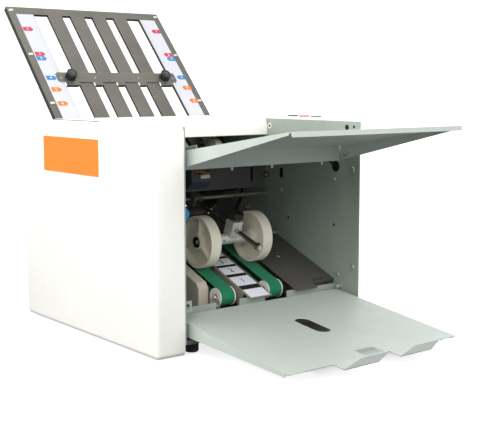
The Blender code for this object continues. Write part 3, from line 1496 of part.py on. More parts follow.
def upper_fold_plate(tilted):
    """Upper fold plate: slotted front grid with flanges and slotted back grid."""
    half = PLATE_HALF
    top_edge = UPPER_LENGTH
    shape = box((-half, UPPER_START, -PLATE_DEPTH), (half, top_edge, 0.0))
    inner = half - PLATE_SHEET
    hollow = box((-inner, UPPER_START - CUT_OVERRUN, -PLATE_DEPTH - CUT_OVERRUN),
                 (inner, top_edge - PLATE_SHEET, -PLATE_SHEET))
    shape = cut(shape, hollow)
    mouth = ROLLER_HALF
    lip = box((-mouth, UPPER_LIP_START, -PLATE_SHEET), (mouth, UPPER_START + TOP_BAR / 2, 0.0))
    shape = fuse(shape, lip)
    shape = cut(shape, plate_slots(-PLATE_SHEET, 0.0, SLOT_START, top_edge - TOP_BAR))
    piece("upper_fold_grid", shape, grid_steel(), tilted)
    across = inner - FIT_GAP
    high = -PLATE_SHEET - PLATE_THROAT
    back = box((-across, UPPER_START, high - PLATE_SHEET), (across, top_edge - PLATE_SHEET - FIT_GAP, high))
    back = cut(back, plate_slots(high - PLATE_SHEET, high, SLOT_START, top_edge - TOP_BAR))
    piece("upper_fold_back", back, grid_steel(), tilted)


def stop_bar(half, reach, fingers, finger_half, finger_deep, lift):
    """Fold stop: notched bar with fingers bent down into the slots."""
    notch = 0.004
    thick = PLATE_SHEET
    outline = ((-half, -reach + notch), (-half + notch, -reach), (half - notch, -reach),
               (half, -reach + notch), (half, reach), (-half + notch, reach), (-half, reach - notch))
    shape = prism(outline, "Z", lift, lift + thick)
    claws = bmesh.new()
    drop = 0.0075
    for x, width in zip(fingers, finger_half):
        box((x - width, -reach - drop, lift + thick * 0.1), (x + width, -reach + notch, lift + thick * 0.9),
            claws)
    shape = fuse(shape, claws)
    tips = bmesh.new()
    for x, width in zip(fingers, finger_half):
        box((x - width * 0.9, -reach - drop, -finger_deep),
            (x + width * 0.9, -reach - drop + thick, lift + thick / 2), tips)
    return fuse(shape, tips)


def upper_fold_stop(tilted):
    """Fold stop of the upper plate with its two clamping knobs."""
    body = empty("upper_stop_slide", (0.0, UPPER_STOP_AT, 0.0), tilted)
    half = 0.1315
    reach = 0.0118
    knob_x = slot_centres()[-1]
    wide = STRIP_EDGE - BAR_PITCH * 1.5 - BAR_WIDTH / 2
    narrow = BAR_PITCH - BAR_WIDTH
    slots = (wide, narrow, narrow, narrow, wide)
    widths = [slot / 2 - RUN_GAP for slot in slots]
    deep = PLATE_SHEET + PLATE_THROAT + PLATE_SHEET / 2
    shape = stop_bar(half, reach, slot_centres(), widths, deep, FIT_GAP)
    screw_radius = STOP_SCREW_RADIUS
    bores = bmesh.new()
    for side in (-1, 1):
        pin(screw_radius + FIT_GAP, "Z", -CUT_OVERRUN, CUT_OVERRUN, (side * knob_x, 0.0), 12, bores)
    piece("upper_fold_stop", cut(shape, bores), grid_steel(), body)
    lift = PLATE_SHEET + FIT_GAP * 2
    for name, side in (("left_stop_knob", -1), ("right_stop_knob", 1)):
        hub = empty(name + "_axis", (side * knob_x, 0.0, lift), body)
        knob = hand_knob(STOP_KNOB_RADIUS, STOP_KNOB_HEIGHT, screw_radius, -lift - deep, 6)
        piece(name, knob, black_plastic(), hub)


def lower_plate_height(y):
    """Height of the lower fold plate's mid plane at y."""
    return MAIN_ROLLER.z + (y - MAIN_ROLLER.y) * math.tan(LOWER_SLOPE)


def lower_fold_plate(machine):
    """Lower fold plate: two sheets between side rails, with two long slots."""
    tilted = empty("lower_plate_frame", MAIN_ROLLER, machine, LOWER_SLOPE)
    half = PLATE_HALF
    rail = PLATE_DEPTH * 0.6
    top = LOWER_LIFT
    throat_top = top - PLATE_SHEET
    throat_bottom = throat_top - PLATE_THROAT
    bottom = throat_bottom - PLATE_SHEET
    mouth = ROLLER_HALF
    end_bar = 0.012
    shape = box((-half, LOWER_RAIL_START, -rail), (half, LOWER_LENGTH, top))
    inner = half - PLATE_SHEET * 2
    shape = cut(shape, box((-inner, LOWER_RAIL_START - CUT_OVERRUN, -rail - CUT_OVERRUN),
                           (inner, LOWER_LENGTH + CUT_OVERRUN, bottom)))
    shape = cut(shape, box((-inner, LOWER_RAIL_START - CUT_OVERRUN, throat_bottom),
                           (inner, LOWER_LENGTH - PLATE_SHEET, throat_top)))
    shape = fuse(shape, box((-mouth, LOWER_START, throat_top), (mouth, LOWER_RAIL_START + end_bar, top)))
    shape = fuse(shape, box((-mouth, LOWER_START, bottom), (mouth, LOWER_RAIL_START + end_bar,
                                                            throat_bottom)))
    slots = bmesh.new()
    slot_start = 0.085
    for x in slot_centres():
        box((x - SLOT_HALF, slot_start, bottom - CUT_OVERRUN),
            (x + SLOT_HALF, LOWER_LENGTH - end_bar, top + CUT_OVERRUN), slots)
    piece("lower_fold_plate", cut(shape, slots), grid_steel(), tilted)
    body = empty("lower_stop_slide", (0.0, LOWER_STOP_AT, top), tilted)
    reach = 0.010
    half_bar = 0.125
    fingers = slot_centres()
    deep = PLATE_SHEET + PLATE_THROAT + PLATE_SHEET / 2
    bar = stop_bar(half_bar, reach, fingers, [SLOT_HALF - RUN_GAP] * len(fingers), deep, FIT_GAP)
    screw_radius = STOP_SCREW_RADIUS
    bar = cut(bar, pin(screw_radius + FIT_GAP, "Z", -CUT_OVERRUN, CUT_OVERRUN, sides=12))
    piece("lower_fold_stop", bar, grid_steel(), body)
    lift = PLATE_SHEET + FIT_GAP * 2
    hub = empty("lower_stop_knob_axis", (0.0, 0.0, lift), body)
    knob = hand_knob(STOP_KNOB_RADIUS, STOP_KNOB_HEIGHT, screw_radius, -lift - deep, 6)
    piece("lower_stop_knob", knob, black_plastic(), hub)


# Exit tray
def exit_tray(machine):
    """Exit tray of bent sheet with grip slot and two drooping front lips."""
    body = empty("exit_tray_pivot", EXIT_PIVOT, machine, EXIT_SLOPE)
    top = EXIT_PIVOT_DROP
    rear = EXIT_PIVOT_INSET
    front = rear - EXIT_LENGTH
    half = TRAY_HALF
    lip_pitch = 0.1112
    first_lip = -0.0875
    valley = 0.0535
    lip_width = 0.1068
    crease = 0.080
    crease_reach = 0.010
    droop = 0.006
    flange_front = front + EXIT_TIP_FLANGE
    flange_rear = rear - PIVOT_RADIUS / 2
    points = [(-half, rear, top), (-half, flange_front, top), (-half, front, top)]
    border = [0, 1, 2]
    lips = []
    for index in range(2):
        x = first_lip + index * lip_pitch
        start = len(points)
        points += [(x, front, top), (x + valley, front, top), (x + lip_width, front, top),
                   (x, front - LIP_REACH, top), (x + crease, front - crease_reach, top - droop)]
        border += [start, start + 1, start + 2]
        lips += [(start, start + 3, start + 1), (start + 1, start + 3, start + 4, start + 2)]
    start = len(points)
    points += [(half, front, top), (half, flange_front, top), (half, rear, top)]
    border += [start, start + 1, start + 2]
    faces = [tuple(border)] + lips
    deep = top - EXIT_FLANGE
    for x, back, tip in ((-half, 0, 1), (half, start + 2, start + 1)):
        mark = len(points)
        points += [(x, flange_front, top - EXIT_TIP_FLANGE), (x, flange_rear - EXIT_FLANGE, deep),
                   (x, flange_rear, deep)]
        side = (back, mark + 2, mark + 1, mark, tip)
        faces.append(side if x < 0 else side[::-1])
    shape = sheet(points, faces, SHEET)
    grip_half = 0.0138
    grip_long = 0.0348
    grip_at = -0.1159
    low = top - SHEET - CUT_OVERRUN
    high = top + CUT_OVERRUN
    holes = prism(rounded((-grip_half, grip_at - grip_long), (grip_half, grip_at + grip_long),
                          grip_half * 0.999, 5), "Z", low, high)
    notch_left = -0.021
    notch_right = 0.018
    notch_near = 0.003
    notch_far = 0.027
    notch_round = 0.004
    window = rounded((notch_left, front + notch_near), (notch_right, front + notch_far), notch_round, 3)
    prism(window, "Z", low, high, holes)
    shape = cut(shape, holes)
    shape = cut(shape, pin(PIVOT_RADIUS + FIT_GAP, "X", -half - CUT_OVERRUN, half + CUT_OVERRUN))
    piece("exit_tray", shape, tray_paint(), body)


# Board and loom
def circuit_board(machine):
    """Control board on four posts over the base pan."""
    left = 0.020
    front = 0.095
    width = 0.130
    depth = 0.090
    low = Vector((left, front))
    high = low + Vector((width, depth))
    pan = FRAME_BOTTOM + PAN_THICK + FIT_GAP
    stand = BOARD_STAND
    thick = BOARD_THICK
    post = 0.003
    inset = 0.006
    shape = box((low.x, low.y, pan + stand), (high.x, high.y, pan + stand + thick))
    posts = bmesh.new()
    for x in (low.x + inset, high.x - inset):
        for y in (low.y + inset, high.y - inset):
            pin(post, "Z", pan, pan + stand + thick / 2, (x, y), 6, posts)
    shape = fuse(shape, posts)
    parts = bmesh.new()
    base = pan + stand + thick / 2
    place_shares = ((0.15, 0.2, 0.12, 0.16), (0.45, 0.25, 0.14, 0.3), (0.72, 0.3, 0.1, 0.12),
                    (0.2, 0.65, 0.2, 0.14), (0.62, 0.7, 0.16, 0.12))
    tallest = 0.022
    height_shares = (0.8, 0.45, 1.0, 0.55, 0.36)
    size = high - low
    for (across, along, wide, long), share in zip(place_shares, height_shares):
        tall = tallest * share
        x = low.x + across * size.x
        y = low.y + along * size.y
        box((x, y, base), (x + wide * size.x, y + long * size.y, base + tall), parts)
    piece("circuit_board", fuse(shape, parts), material("board_green", (0.02, 0.12, 0.06), 0.5), machine)


def wiring(machine):
    """Wire loom from the separator's connector to the control board."""
    behind = CROSS_PANEL_Y + PLATE_SHEET + LOOM_RADIUS + FIT_GAP * 2
    board = FRAME_BOTTOM + PAN_THICK + FIT_GAP * 3 + BOARD_STAND + BOARD_THICK
    route = ((0.030, CROSS_PANEL_Y, 0.2525), (0.039, CROSS_PANEL_Y + LOOM_RADIUS, 0.2522),
             (0.050, behind + LOOM_RADIUS, 0.2510), (0.070, behind, 0.2470), (0.095, behind, 0.2400),
             (0.130, behind + LOOM_RADIUS, 0.2290),
             (0.152, 0.072, 0.2080), (0.160, 0.090, 0.1850), (0.160, 0.112, 0.1500),
             (0.157, 0.114, 0.1050), (0.150, 0.118, 0.0700), (0.134, 0.117, 0.0620),
             (0.112, 0.111, 0.0560), (0.104, 0.108, 0.0440), (0.104, 0.108, board))
    curve = bpy.data.curves.new("loom", "CURVE")
    curve.dimensions = "3D"
    line = curve.splines.new("POLY")
    knots = [Vector(point) for point in route]
    smooth = []
    for index in range(len(knots) - 1):
        before = knots[max(index - 1, 0)]
        after = knots[min(index + 2, len(knots) - 1)]
        for step in range(2):
            t = step / 2
            a = knots[index]
            b = knots[index + 1]
            smooth.append(0.5 * (2 * a + (b - before) * t + (2 * before - 5 * a + 4 * b - after) * t ** 2
                                 + (3 * a - before - 3 * b + after) * t ** 3))
    smooth.append(knots[-1])
    line.points.add(len(smooth) - 1)
    for point, knot in zip(line.points, smooth):
        point.co = (*knot, 1.0)
    curve.bevel_depth = LOOM_RADIUS
    curve.bevel_resolution = 1
    curve.use_fill_caps = True
    item = bpy.data.objects.new("wiring", curve)
    item.parent = machine
    curve.materials.append(material("wire_sleeve", (0.035, 0.035, 0.040), 0.5))
    bpy.context.scene.collection.objects.link(item)


def build():
    """Build the whole machine in order."""
    for item in list(bpy.data.objects):
        bpy.data.objects.remove(item)
    machine = empty("machine", (0.0, MACHINE_Y, 0.0))
    base_pan(machine)
    rubber_feet(machine)
    right_frame(machine)
    left_frame(machine)
    left_cover(machine)
    right_cover(machine)
    control_panel(machine)
    push_buttons(machine)
    top_cover(machine)
    rear_cover(machine)
    power_inlet(machine)
    power_switch(machine)
    feed_tray(machine)
    feed_deck(machine)
    separator_block(machine)
    feed_guide(machine, "left_feed_guide", -1)
    feed_guide(machine, "right_feed_guide", 1)
    feed_shaft(machine)
    feed_belt(machine)
    fold_rollers(machine)
    drive_belt(machine)
    drive_motor(machine)
    motor_pulley(machine)
    tilted = deck_tilt(machine)
    exit_deck(machine, tilted)
    scale_rail(tilted)
    conveyor_side_block(machine)
    conveyor_belt(machine, "left_conveyor_belt", -BELT_X)
    conveyor_belt(machine, "right_conveyor_belt", BELT_X)
    conveyor_shafts(machine)
    front_cross_member(machine)
    cross_rod(machine)
    cross_panel(machine)
    carriage(stacker_arm(machine))
    blue_knob(machine)
    knob_bracket(machine)
    plate = empty("upper_plate_frame", UPPER_ORIGIN, machine, UPPER_SLOPE)
    upper_fold_plate(plate)
    upper_fold_stop(plate)
    lower_fold_plate(machine)
    exit_tray(machine)
    circuit_board(machine)
    wiring(machine)
    bpy.context.view_layer.update()


build()
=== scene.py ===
"""Paper folding machine, dressed for its studio picture.

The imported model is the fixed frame. Each class below finishes one sub-assembly of it: it paints
the frame's own pieces, eases their edges, and adds the small pieces that ride on them. Lengths are
in metres, and angles in degrees.
"""
import logging
import math
from dataclasses import dataclass, field
from enum import Enum, IntEnum
from typing import Sequence

import bmesh
import bpy
from mathutils import Matrix, Vector


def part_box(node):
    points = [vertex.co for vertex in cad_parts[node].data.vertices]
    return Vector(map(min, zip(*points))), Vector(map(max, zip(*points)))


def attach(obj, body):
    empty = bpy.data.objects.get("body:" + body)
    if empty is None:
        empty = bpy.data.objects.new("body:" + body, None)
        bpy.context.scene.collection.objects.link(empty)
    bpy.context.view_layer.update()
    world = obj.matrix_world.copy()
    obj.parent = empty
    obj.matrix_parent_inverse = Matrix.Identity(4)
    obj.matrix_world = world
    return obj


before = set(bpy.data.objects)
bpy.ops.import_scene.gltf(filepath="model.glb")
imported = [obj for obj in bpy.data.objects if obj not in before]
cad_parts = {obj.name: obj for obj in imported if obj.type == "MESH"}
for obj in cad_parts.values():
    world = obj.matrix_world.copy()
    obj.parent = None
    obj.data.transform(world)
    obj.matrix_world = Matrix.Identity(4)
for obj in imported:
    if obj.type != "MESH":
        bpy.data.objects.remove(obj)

LOG = logging.getLogger("folding_machine")

Colour = tuple[float, float, float]
Point = tuple[float, float]
Profile = Sequence[Point]
Socket = bpy.types.NodeSocket
Value = Socket | float | Sequence[float]

CREASE = math.radians(32.0)
FLAT = math.radians(0.6)
MERGE = 0.00001
WELD = MERGE / 10
SKIN = 0.0002
BEVEL_FACES = 2
EDGE_SAMPLES = 4
EDGE_LIKENESS = (0.995, 0.86)
WAVE_RATE = 10
CORNER_STEPS = 4
FEW_STEPS = 2
CURVE_STEPS = 8
TYPE_STEPS = 3
BRIGHTEST = 0.98
WHITE = (1.0, 1.0, 1.0)
EVEN = (1.0, 1.0, 1.0)
SIDEWAYS = Matrix(((0.0, 0.0, 1.0), (1.0, 0.0, 0.0), (0.0, 1.0, 0.0))).to_4x4()


class Edge(Enum):
    """Bevel along the edges of the frame's pieces, by how they are made."""

    SHARP = 0.0
    CUT = 0.0002
    SHEARED = 0.0003
    PRESSED = 0.0004
    TRIMMED = 0.0005
    MOULDED = 0.0006
    FOLDED = 0.0008
    SOFT = 0.0010


class Sides(IntEnum):
    """Number of faces round a turned piece or a wire."""

    NUT = 6
    WIRE = 10
    SMALL = 16
    HOLE = 20
    TURNED = 24
    WHEEL = 28


def at(x: float, y: float, z: float) -> Matrix:
    """Frame moved to a place, its axes kept."""
    return Matrix.Translation((x, y, z))


def spin(angle: float, axis: str = "X") -> Matrix:
    """Turn by an angle in degrees about one axis."""
    return Matrix.Rotation(math.radians(angle), 4, axis)


def linear(code: str) -> Colour:
    """Linear colour of a six digit screen colour.

    Args:
        code: red, green and blue as two hexadecimal digits each.

    Returns:
        The same colour as linear light.
    """
    parts = [int(code[i:i + 2], 16) / 255 for i in (0, 2, 4)]
    return tuple(p / 12.92 if p <= 0.04045 else ((p + 0.055) / 1.055) ** 2.4 for p in parts)


def shaded(colour: Colour, share: float) -> Colour:
    """Colour with its light multiplied by a share, kept within the range of a paint."""
    return tuple(min(BRIGHTEST, part * share) for part in colour)


# Shader building
@dataclass(frozen=True)
class Grain:
    """Clouded noise of a finish.

    Attributes:
        scale: cells per metre.
        detail: number of octaves.
        rough: share that each octave keeps.
        span: values between which it comes to show.
        squash: stretch along each axis, under 1 for longer marks.
        depth: height of its relief.
        share: how much of it shows at most.
        shade: tone of what shows, against the finish's own.
    """

    scale: float
    detail: float = 4.0
    rough: float = 0.55
    span: Point = (0.3, 0.7)
    squash: Sequence[float] = EVEN
    depth: float = 0.0
    share: float = 1.0
    shade: float = 1.0


class Surface:
    """A material while it is made: one shader and the nodes that feed it."""

    def __init__(self, name: str) -> None:
        """Starts an empty material.

        Args:
            name: the material's name.
        """
        self.material = bpy.data.materials.new(name)
        self.material.use_nodes = True
        self.tree = self.material.node_tree
        self.tree.nodes.clear()
        self.shader = self.node("BsdfPrincipled")
        self.node("OutputMaterial", Surface=self.shader.outputs["BSDF"])
        self.place = self.node("TexCoord").outputs["Object"]

    def feed(self, socket: Socket, value: Value) -> None:
        """Links a socket to another, or sets its constant.

        Args:
            socket: the input.
            value: an output socket, a number or a list of numbers.
        """
        if isinstance(value, Socket):
            self.tree.links.new(value, socket)
        elif socket.type == "RGBA":
            socket.default_value = (*value, 1.0)
        else:
            socket.default_value = value

    def fill(self, node: bpy.types.Node, values: dict[str, Value]) -> bpy.types.Node:
        """Gives a node's inputs their values.

        Args:
            node: the node.
            values: value of each input, under its name with underscores for spaces.

        Returns:
            The same node.
        """
        for name, value in values.items():
            self.feed(node.inputs[name.replace("_", " ")], value)
        return node

    def node(self, kind: str, **values: Value) -> bpy.types.Node:
        """New shader node of a kind, its inputs filled by name."""
        return self.fill(self.tree.nodes.new("ShaderNode" + kind), values)

    def put(self, **values: Value) -> None:
        """Gives the shader's own inputs their values."""
        self.fill(self.shader, values)

    def stretch(self, squash: Sequence[float]) -> Socket:
        """Object coordinates with a factor along each axis.

        Args:
            squash: the three factors.

        Returns:
            The coordinates.
        """
        if squash == EVEN:
            return self.place
        return self.node("Mapping", Vector=self.place, Scale=squash).outputs["Vector"]

    def noise(self, grain: Grain) -> Socket:
        """Raw noise of a grain.

        Args:
            grain: the grain read.

        Returns:
            Its raw value.
        """
        node = self.node("TexNoise", Vector=self.stretch(grain.squash), Scale=grain.scale,
                         Detail=grain.detail, Roughness=grain.rough)
        return node.outputs["Fac"]

    def cells(self, scale: float, squash: Sequence[float] = EVEN, feature: str = "F1") -> Socket:
        """Distance to the nearest of scattered points.

        Args:
            scale: cells per metre.
            squash: factor along each axis.
            feature: kind of cell pattern.

        Returns:
            The distance value.
        """
        node = self.node("TexVoronoi")
        node.feature = feature
        return self.fill(node, {"Vector": self.stretch(squash), "Scale": scale}).outputs["Distance"]

    def bands(self, scale: float, direction: str, bend: float = 0.0) -> Socket:
        """Parallel bands. A wave texture has its scale times 10 / pi of them per metre.

        Args:
            scale: bands per metre.
            direction: X, Y or Z.
            bend: how far noise bends the bands.

        Returns:
            The band value.
        """
        node = self.node("TexWave", Vector=self.place, Scale=scale * math.pi / WAVE_RATE, Distortion=bend)
        node.bands_direction = direction
        return node.outputs["Fac"]

    def level(self, value: Socket, low: float, high: float, least: float = 0.0, most: float = 1.0) -> Socket:
        """Value stretched from one range to another, and kept within it.

        Args:
            value: the value read.
            low: value that gives the least.
            high: value that gives the most.
            least: result at low.
            most: result at high.

        Returns:
            The new value.
        """
        node = self.node("MapRange", Value=value, From_Min=low, From_Max=high, To_Min=least, To_Max=most)
        return node.outputs["Result"]

    def blend(self, share: Socket, least: float, most: float) -> Socket:
        """Number between two, by a share from 0 to 1."""
        return self.level(share, 0.0, 1.0, least, most)

    def spread(self, noise: Socket, least: float, most: float) -> Socket:
        """Raw noise stretched from its usual range to another."""
        return self.level(noise, *Grain.span, least, most)

    def sums(self, operation: str, one: Value, two: Value = 0.0, kind: str = "Math") -> Socket:
        """Sum, product or comparison of two values.

        Args:
            operation: its name.
            one: first value.
            two: second value, where the operation has one.
            kind: kind of node that does it.

        Returns:
            The result.
        """
        node = self.node(kind)
        node.operation = operation
        self.feed(node.inputs[0], one)
        self.feed(node.inputs[1], two)
        return node.outputs["Value"]

    def mix(self, share: Socket, one: Socket | Colour, two: Socket | Colour) -> Socket:
        """Colour between two colours.

        Args:
            share: how much of the second colour shows.
            one: first colour.
            two: second colour.

        Returns:
            The colour output.
        """
        node = self.node("Mix")
        node.data_type = "RGBA"
        colours = [socket for socket in node.inputs if socket.type == "RGBA"]
        for socket, value in zip((node.inputs[0], *colours), (share, one, two)):
            self.feed(socket, value)
        return next(socket for socket in node.outputs if socket.type == "RGBA")

    def film(self, grain: Grain, noise: Socket | None = None) -> Socket:
        """Where a grain shows, from 0 to its share, read from its own noise or from one given."""
        return self.level(noise or self.noise(grain), *grain.span, 0.0, grain.share)

    def coat(self, base: Socket | Colour, colour: Colour, grain: Grain,
             noise: Socket | None = None) -> Socket:
        """Base with a grain's shade of a colour where the grain shows."""
        return self.mix(self.film(grain, noise), base, shaded(colour, grain.shade))

    def tones(self, grain: Grain, colour: Colour, shades: Point) -> Socket:
        """Colour that clouds between two shades of it."""
        return self.mix(self.film(grain), shaded(colour, shades[0]), shaded(colour, shades[1]))

    def axis(self, name: str) -> Socket:
        """One of the object's own coordinates."""
        return self.node("SeparateXYZ", Vector=self.place).outputs[name]

    def away(self, value: Socket, middle: float = 0.0) -> Socket:
        """How far a value lies from a middle one."""
        return self.sums("ABSOLUTE", self.sums("SUBTRACT", value, middle))

    def steep(self, level: float, leaning: float) -> Socket:
        """How far a face leans away from level.

        Args:
            level: upward share of the normal of a face that counts as level.
            leaning: upward share of the normal of a face that counts as leaning.

        Returns:
            A value from 0 on a level face to 1 on a leaning one.
        """
        part = self.node("SeparateXYZ", Vector=self.node("NewGeometry").outputs["True Normal"])
        return self.level(part.outputs["Z"], level, leaning)

    def edge(self, width: float, share: float = 1.0) -> Socket:
        """Mask along hard edges.

        Args:
            width: how far from the edge it reaches.
            share: its value on the edge.

        Returns:
            The mask.
        """
        bevel = self.node("Bevel", Radius=width)
        bevel.samples = EDGE_SAMPLES
        normal = self.node("NewGeometry").outputs["Normal"]
        likeness = self.sums("DOT_PRODUCT", bevel.outputs["Normal"], normal, "VectorMath")
        return self.level(likeness, *EDGE_LIKENESS, 0.0, share)

    def relief(self, *layers: tuple[Socket, float]) -> None:
        """Raises the surface by height maps, one on top of the other.

        Args:
            layers: height value and its depth.
        """
        below: dict[str, Value] = {}
        for height, depth in layers:
            bump = self.node("Bump", Strength=1.0, Distance=depth, Height=height, **below)
            below = {"Normal": bump.outputs["Normal"]}
        self.put(**below)


MADE: dict[str, bpy.types.Material] = {}


@dataclass(frozen=True)
class Finish:
    """Anything that can colour a piece.

    Attributes:
        name: the material's name.
        slot: name of a slot for the scene's own pieces that have it; not used by this script.
    """

    name: str
    slot: str = field(default="", kw_only=True)

    def material(self) -> bpy.types.Material:
        """Makes the material at its first use.

        Returns:
            The finish as a material.
        """
        if self.name not in MADE:
            surface = Surface(self.name)
            self.paint(surface)
            MADE[self.name] = surface.material
        return MADE[self.name]

    def paint(self, s: Surface) -> None:
        """Feeds the shader of a new surface."""
        raise NotImplementedError


@dataclass(frozen=True)
class PowderCoat(Finish):
    """Baked powder paint on sheet steel: a fine orange peel, rubbed edges, a trace of handling, and painted
    shade on a drooping lip where one is given.
    """

    colour: Colour
    rough: float = 0.42
    worn: float = 0.35
    bare: Colour = (0.55, 0.56, 0.55)
    soil: float = 0.94
    # Painted shade: where lip is given, faces past it that lean away from level are darkened to stand in for
    # the shade on a drooping lip.
    lip: float | None = None
    lip_half: float = 0.140
    lip_shade: float = 0.62
    lip_blur: Point = (0.0004, 0.001)
    lip_lean: Point = (0.989, 0.965)
    gloss: float = 0.45
    smear_share: float = 0.5
    smear_rough: float = 0.10
    fine_rough: Point = (-0.03, 0.03)
    edge_width: float = 0.0010
    shades: Point = (0.975, 1.02)
    cloud: Grain = Grain(5.0, span=(0.36, 0.64))
    smear: Grain = Grain(28.0, 5.0, 0.62, (0.42, 0.70), (1.0, 1.0, 0.35))
    fine: Grain = Grain(520.0, 2.0, 0.5)
    chip: Grain = Grain(160.0, 4.0, 0.7, (0.56, 0.66))
    swell: Grain = Grain(60.0, 2.0, depth=0.00016)
    peel: float = 430.0
    peel_depth: float = 0.00012

    def paint(self, s: Surface) -> None:
        """Lays the paint on, and darkens the drooping lip with painted shade where it has one.

        Args:
            s: the new surface.
        """
        smear = s.film(self.smear)
        paint = s.tones(self.cloud, self.colour, self.shades)
        paint = s.mix(s.sums("MULTIPLY", smear, self.smear_share), paint, shaded(self.colour, self.soil))
        # Painted shade on the drooping lip.
        if self.lip is not None:
            ahead = s.sums("MULTIPLY", s.axis("Y"), -1.0)
            beyond = s.level(ahead, self.lip, self.lip + self.lip_blur[0])
            within = s.level(s.away(s.axis("X")), self.lip_half, self.lip_half + self.lip_blur[1], 1.0, 0.0)
            painted_droop_shade = s.sums("MULTIPLY", s.steep(*self.lip_lean), s.sums("MULTIPLY", beyond, within))
            paint = s.mix(painted_droop_shade, paint, shaded(self.colour, self.lip_shade))
        edge = s.edge(self.edge_width)
        bare = s.sums("MULTIPLY", edge, s.level(s.noise(self.chip), *self.chip.span, 0.0, self.worn))
        rough = s.blend(smear, self.rough, self.rough + self.smear_rough)
        s.put(Base_Color=s.mix(bare, paint, self.bare), Specular_IOR_Level=self.gloss,
              Roughness=s.sums("ADD", rough, s.spread(s.noise(self.fine), *self.fine_rough)))
        s.relief((s.cells(self.peel), self.peel_depth), (s.noise(self.swell), self.swell.depth))


@dataclass(frozen=True)
class BrushedSteel(Finish):
    """Rolled steel sheet with fine lines along one direction, dull between its brighter edges."""

    colour: Colour
    metal: float = 0.62
    rough: float = 0.44
    shine: Colour = (0.52, 0.51, 0.48)
    flank: float | None = None
    flank_blur: float = 0.0002
    flank_share: float = 0.86
    flank_colour: Colour = (0.02, 0.02, 0.02)
    drawn: float = 0.4
    line_rough: Point = (-0.08, 0.10)
    edge_width: float = 0.0008
    edge_share: float = 0.6
    shades: Point = (0.90, 1.10)
    cloud: Grain = Grain(16.0, span=(0.35, 0.68))
    line: Grain = Grain(900.0, 4.0, 0.7, (0.42, 0.62), (0.02, 1.0, 1.0), 0.00005, share=0.30, shade=0.72)
    spot: Grain = Grain(210.0, 5.0, 0.7, (0.66, 0.76), share=0.4, shade=0.60)
    swell: Grain = Grain(24.0, 2.0, depth=0.00020)

    def paint(self, s: Surface) -> None:
        """Brushes the steel, and darkens its cut flanks where it has some.

        Args:
            s: the new surface.
        """
        lines = s.noise(self.line)
        base = s.tones(self.cloud, self.colour, self.shades)
        base = s.coat(s.coat(base, self.colour, self.line, lines), self.colour, self.spot)
        if self.flank is not None:
            side = s.level(s.away(s.axis("X")), self.flank - self.flank_blur, self.flank, 0.0,
                           self.flank_share)
            base = s.mix(side, base, self.flank_colour)
        rubbed = s.edge(self.edge_width, self.edge_share)
        s.put(Base_Color=s.mix(rubbed, base, self.shine), Metallic=self.metal, Anisotropic=self.drawn,
              Roughness=s.spread(lines, *(self.rough + part for part in self.line_rough)))
        s.relief((lines, self.line.depth), (s.noise(self.swell), self.swell.depth))


@dataclass(frozen=True)
class TurnedSteel(Finish):
    """Bright turned or plated steel with fine rings round its axis and dulled patches."""

    slot: str = field(default="bright_steel", kw_only=True)
    colour: Colour = (0.66, 0.64, 0.60)
    rough: float = 0.24
    metal: float = 1.0
    dull_rough: float = 0.10
    ring_rough: Point = (-0.02, 0.04)
    dull: Grain = Grain(40.0, 4.0, 0.6, (0.38, 0.70), shade=0.74)
    ring: Grain = Grain(1400.0, 3.0, 0.6, squash=(1.0, 0.03, 0.03), depth=0.00001)
    swell: Grain = Grain(120.0, 2.0, depth=0.00002)

    def paint(self, s: Surface) -> None:
        """Turns the steel bright.

        Args:
            s: the new surface.
        """
        rings, dull = s.noise(self.ring), s.film(self.dull)
        rough = s.blend(dull, self.rough, self.rough + self.dull_rough)
        s.put(Base_Color=s.mix(dull, self.colour, shaded(self.colour, self.dull.shade)), Metallic=self.metal,
              Roughness=s.sums("ADD", rough, s.spread(rings, *self.ring_rough)))
        s.relief((rings, self.ring.depth), (s.noise(self.swell), self.swell.depth))


@dataclass(frozen=True)
class CastAlloy(Finish):
    """Die-cast alloy: a sandy skin, bright where it was filed."""

    colour: Colour = (0.80, 0.78, 0.73)
    filed: Colour = (0.78, 0.77, 0.74)
    metal: float = 0.55
    rough: Point = (0.34, 0.50)
    edge_width: float = 0.0007
    sand: Grain = Grain(900.0, 4.0, 0.7, depth=0.00006)
    cloud: Grain = Grain(50.0, span=(0.35, 0.66), shade=0.72)
    pits: float = 520.0
    pit_span: Point = (0.10, 0.42)
    pit_depth: float = 0.00005

    def paint(self, s: Surface) -> None:
        """Casts the skin and files its edges.

        Args:
            s: the new surface.
        """
        sand = s.noise(self.sand)
        base = s.coat(self.colour, self.colour, self.cloud)
        s.put(Base_Color=s.mix(s.edge(self.edge_width), base, self.filed), Metallic=self.metal,
              Roughness=s.spread(sand, *self.rough))
        s.relief((sand, self.sand.depth), (s.level(s.cells(self.pits), *self.pit_span), self.pit_depth))


@dataclass(frozen=True)
class MouldedPlastic(Finish):
    """Injection moulded plastic: a fine spark texture, slight flow marks and polished edges."""

    colour: Colour
    rough: float = 0.45
    flow: float = 0.93
    dust_share: float = 0.9
    grain_rough: Point = (-0.06, 0.08)
    edge_width: float = 0.0007
    edge_share: float = 0.5
    edge_shade: float = 1.25
    spark: Grain = Grain(1500.0, 3.0, 0.6, depth=0.00006)
    mark: Grain = Grain(34.0, 4.0, 0.6, (0.38, 0.66), (1.0, 0.5, 1.0))
    dust: Grain = Grain(260.0, 5.0, 0.7, (0.60, 0.78), share=0.35)
    swell: Grain = Grain(90.0, 2.0, depth=0.00010)

    def paint(self, s: Surface) -> None:
        """Moulds the skin.

        Args:
            s: the new surface.
        """
        spark = s.noise(self.spark)
        base = s.mix(s.film(self.mark), self.colour, shaded(self.colour, self.flow))
        base = s.mix(s.film(self.dust), base, shaded(self.colour, self.flow * self.dust_share))
        rubbed = s.edge(self.edge_width, self.edge_share)
        s.put(Base_Color=s.mix(rubbed, base, shaded(self.colour, self.edge_shade)),
              Roughness=s.spread(spark, *(self.rough + part for part in self.grain_rough)))
        s.relief((spark, self.spark.depth), (s.noise(self.swell), self.swell.depth))


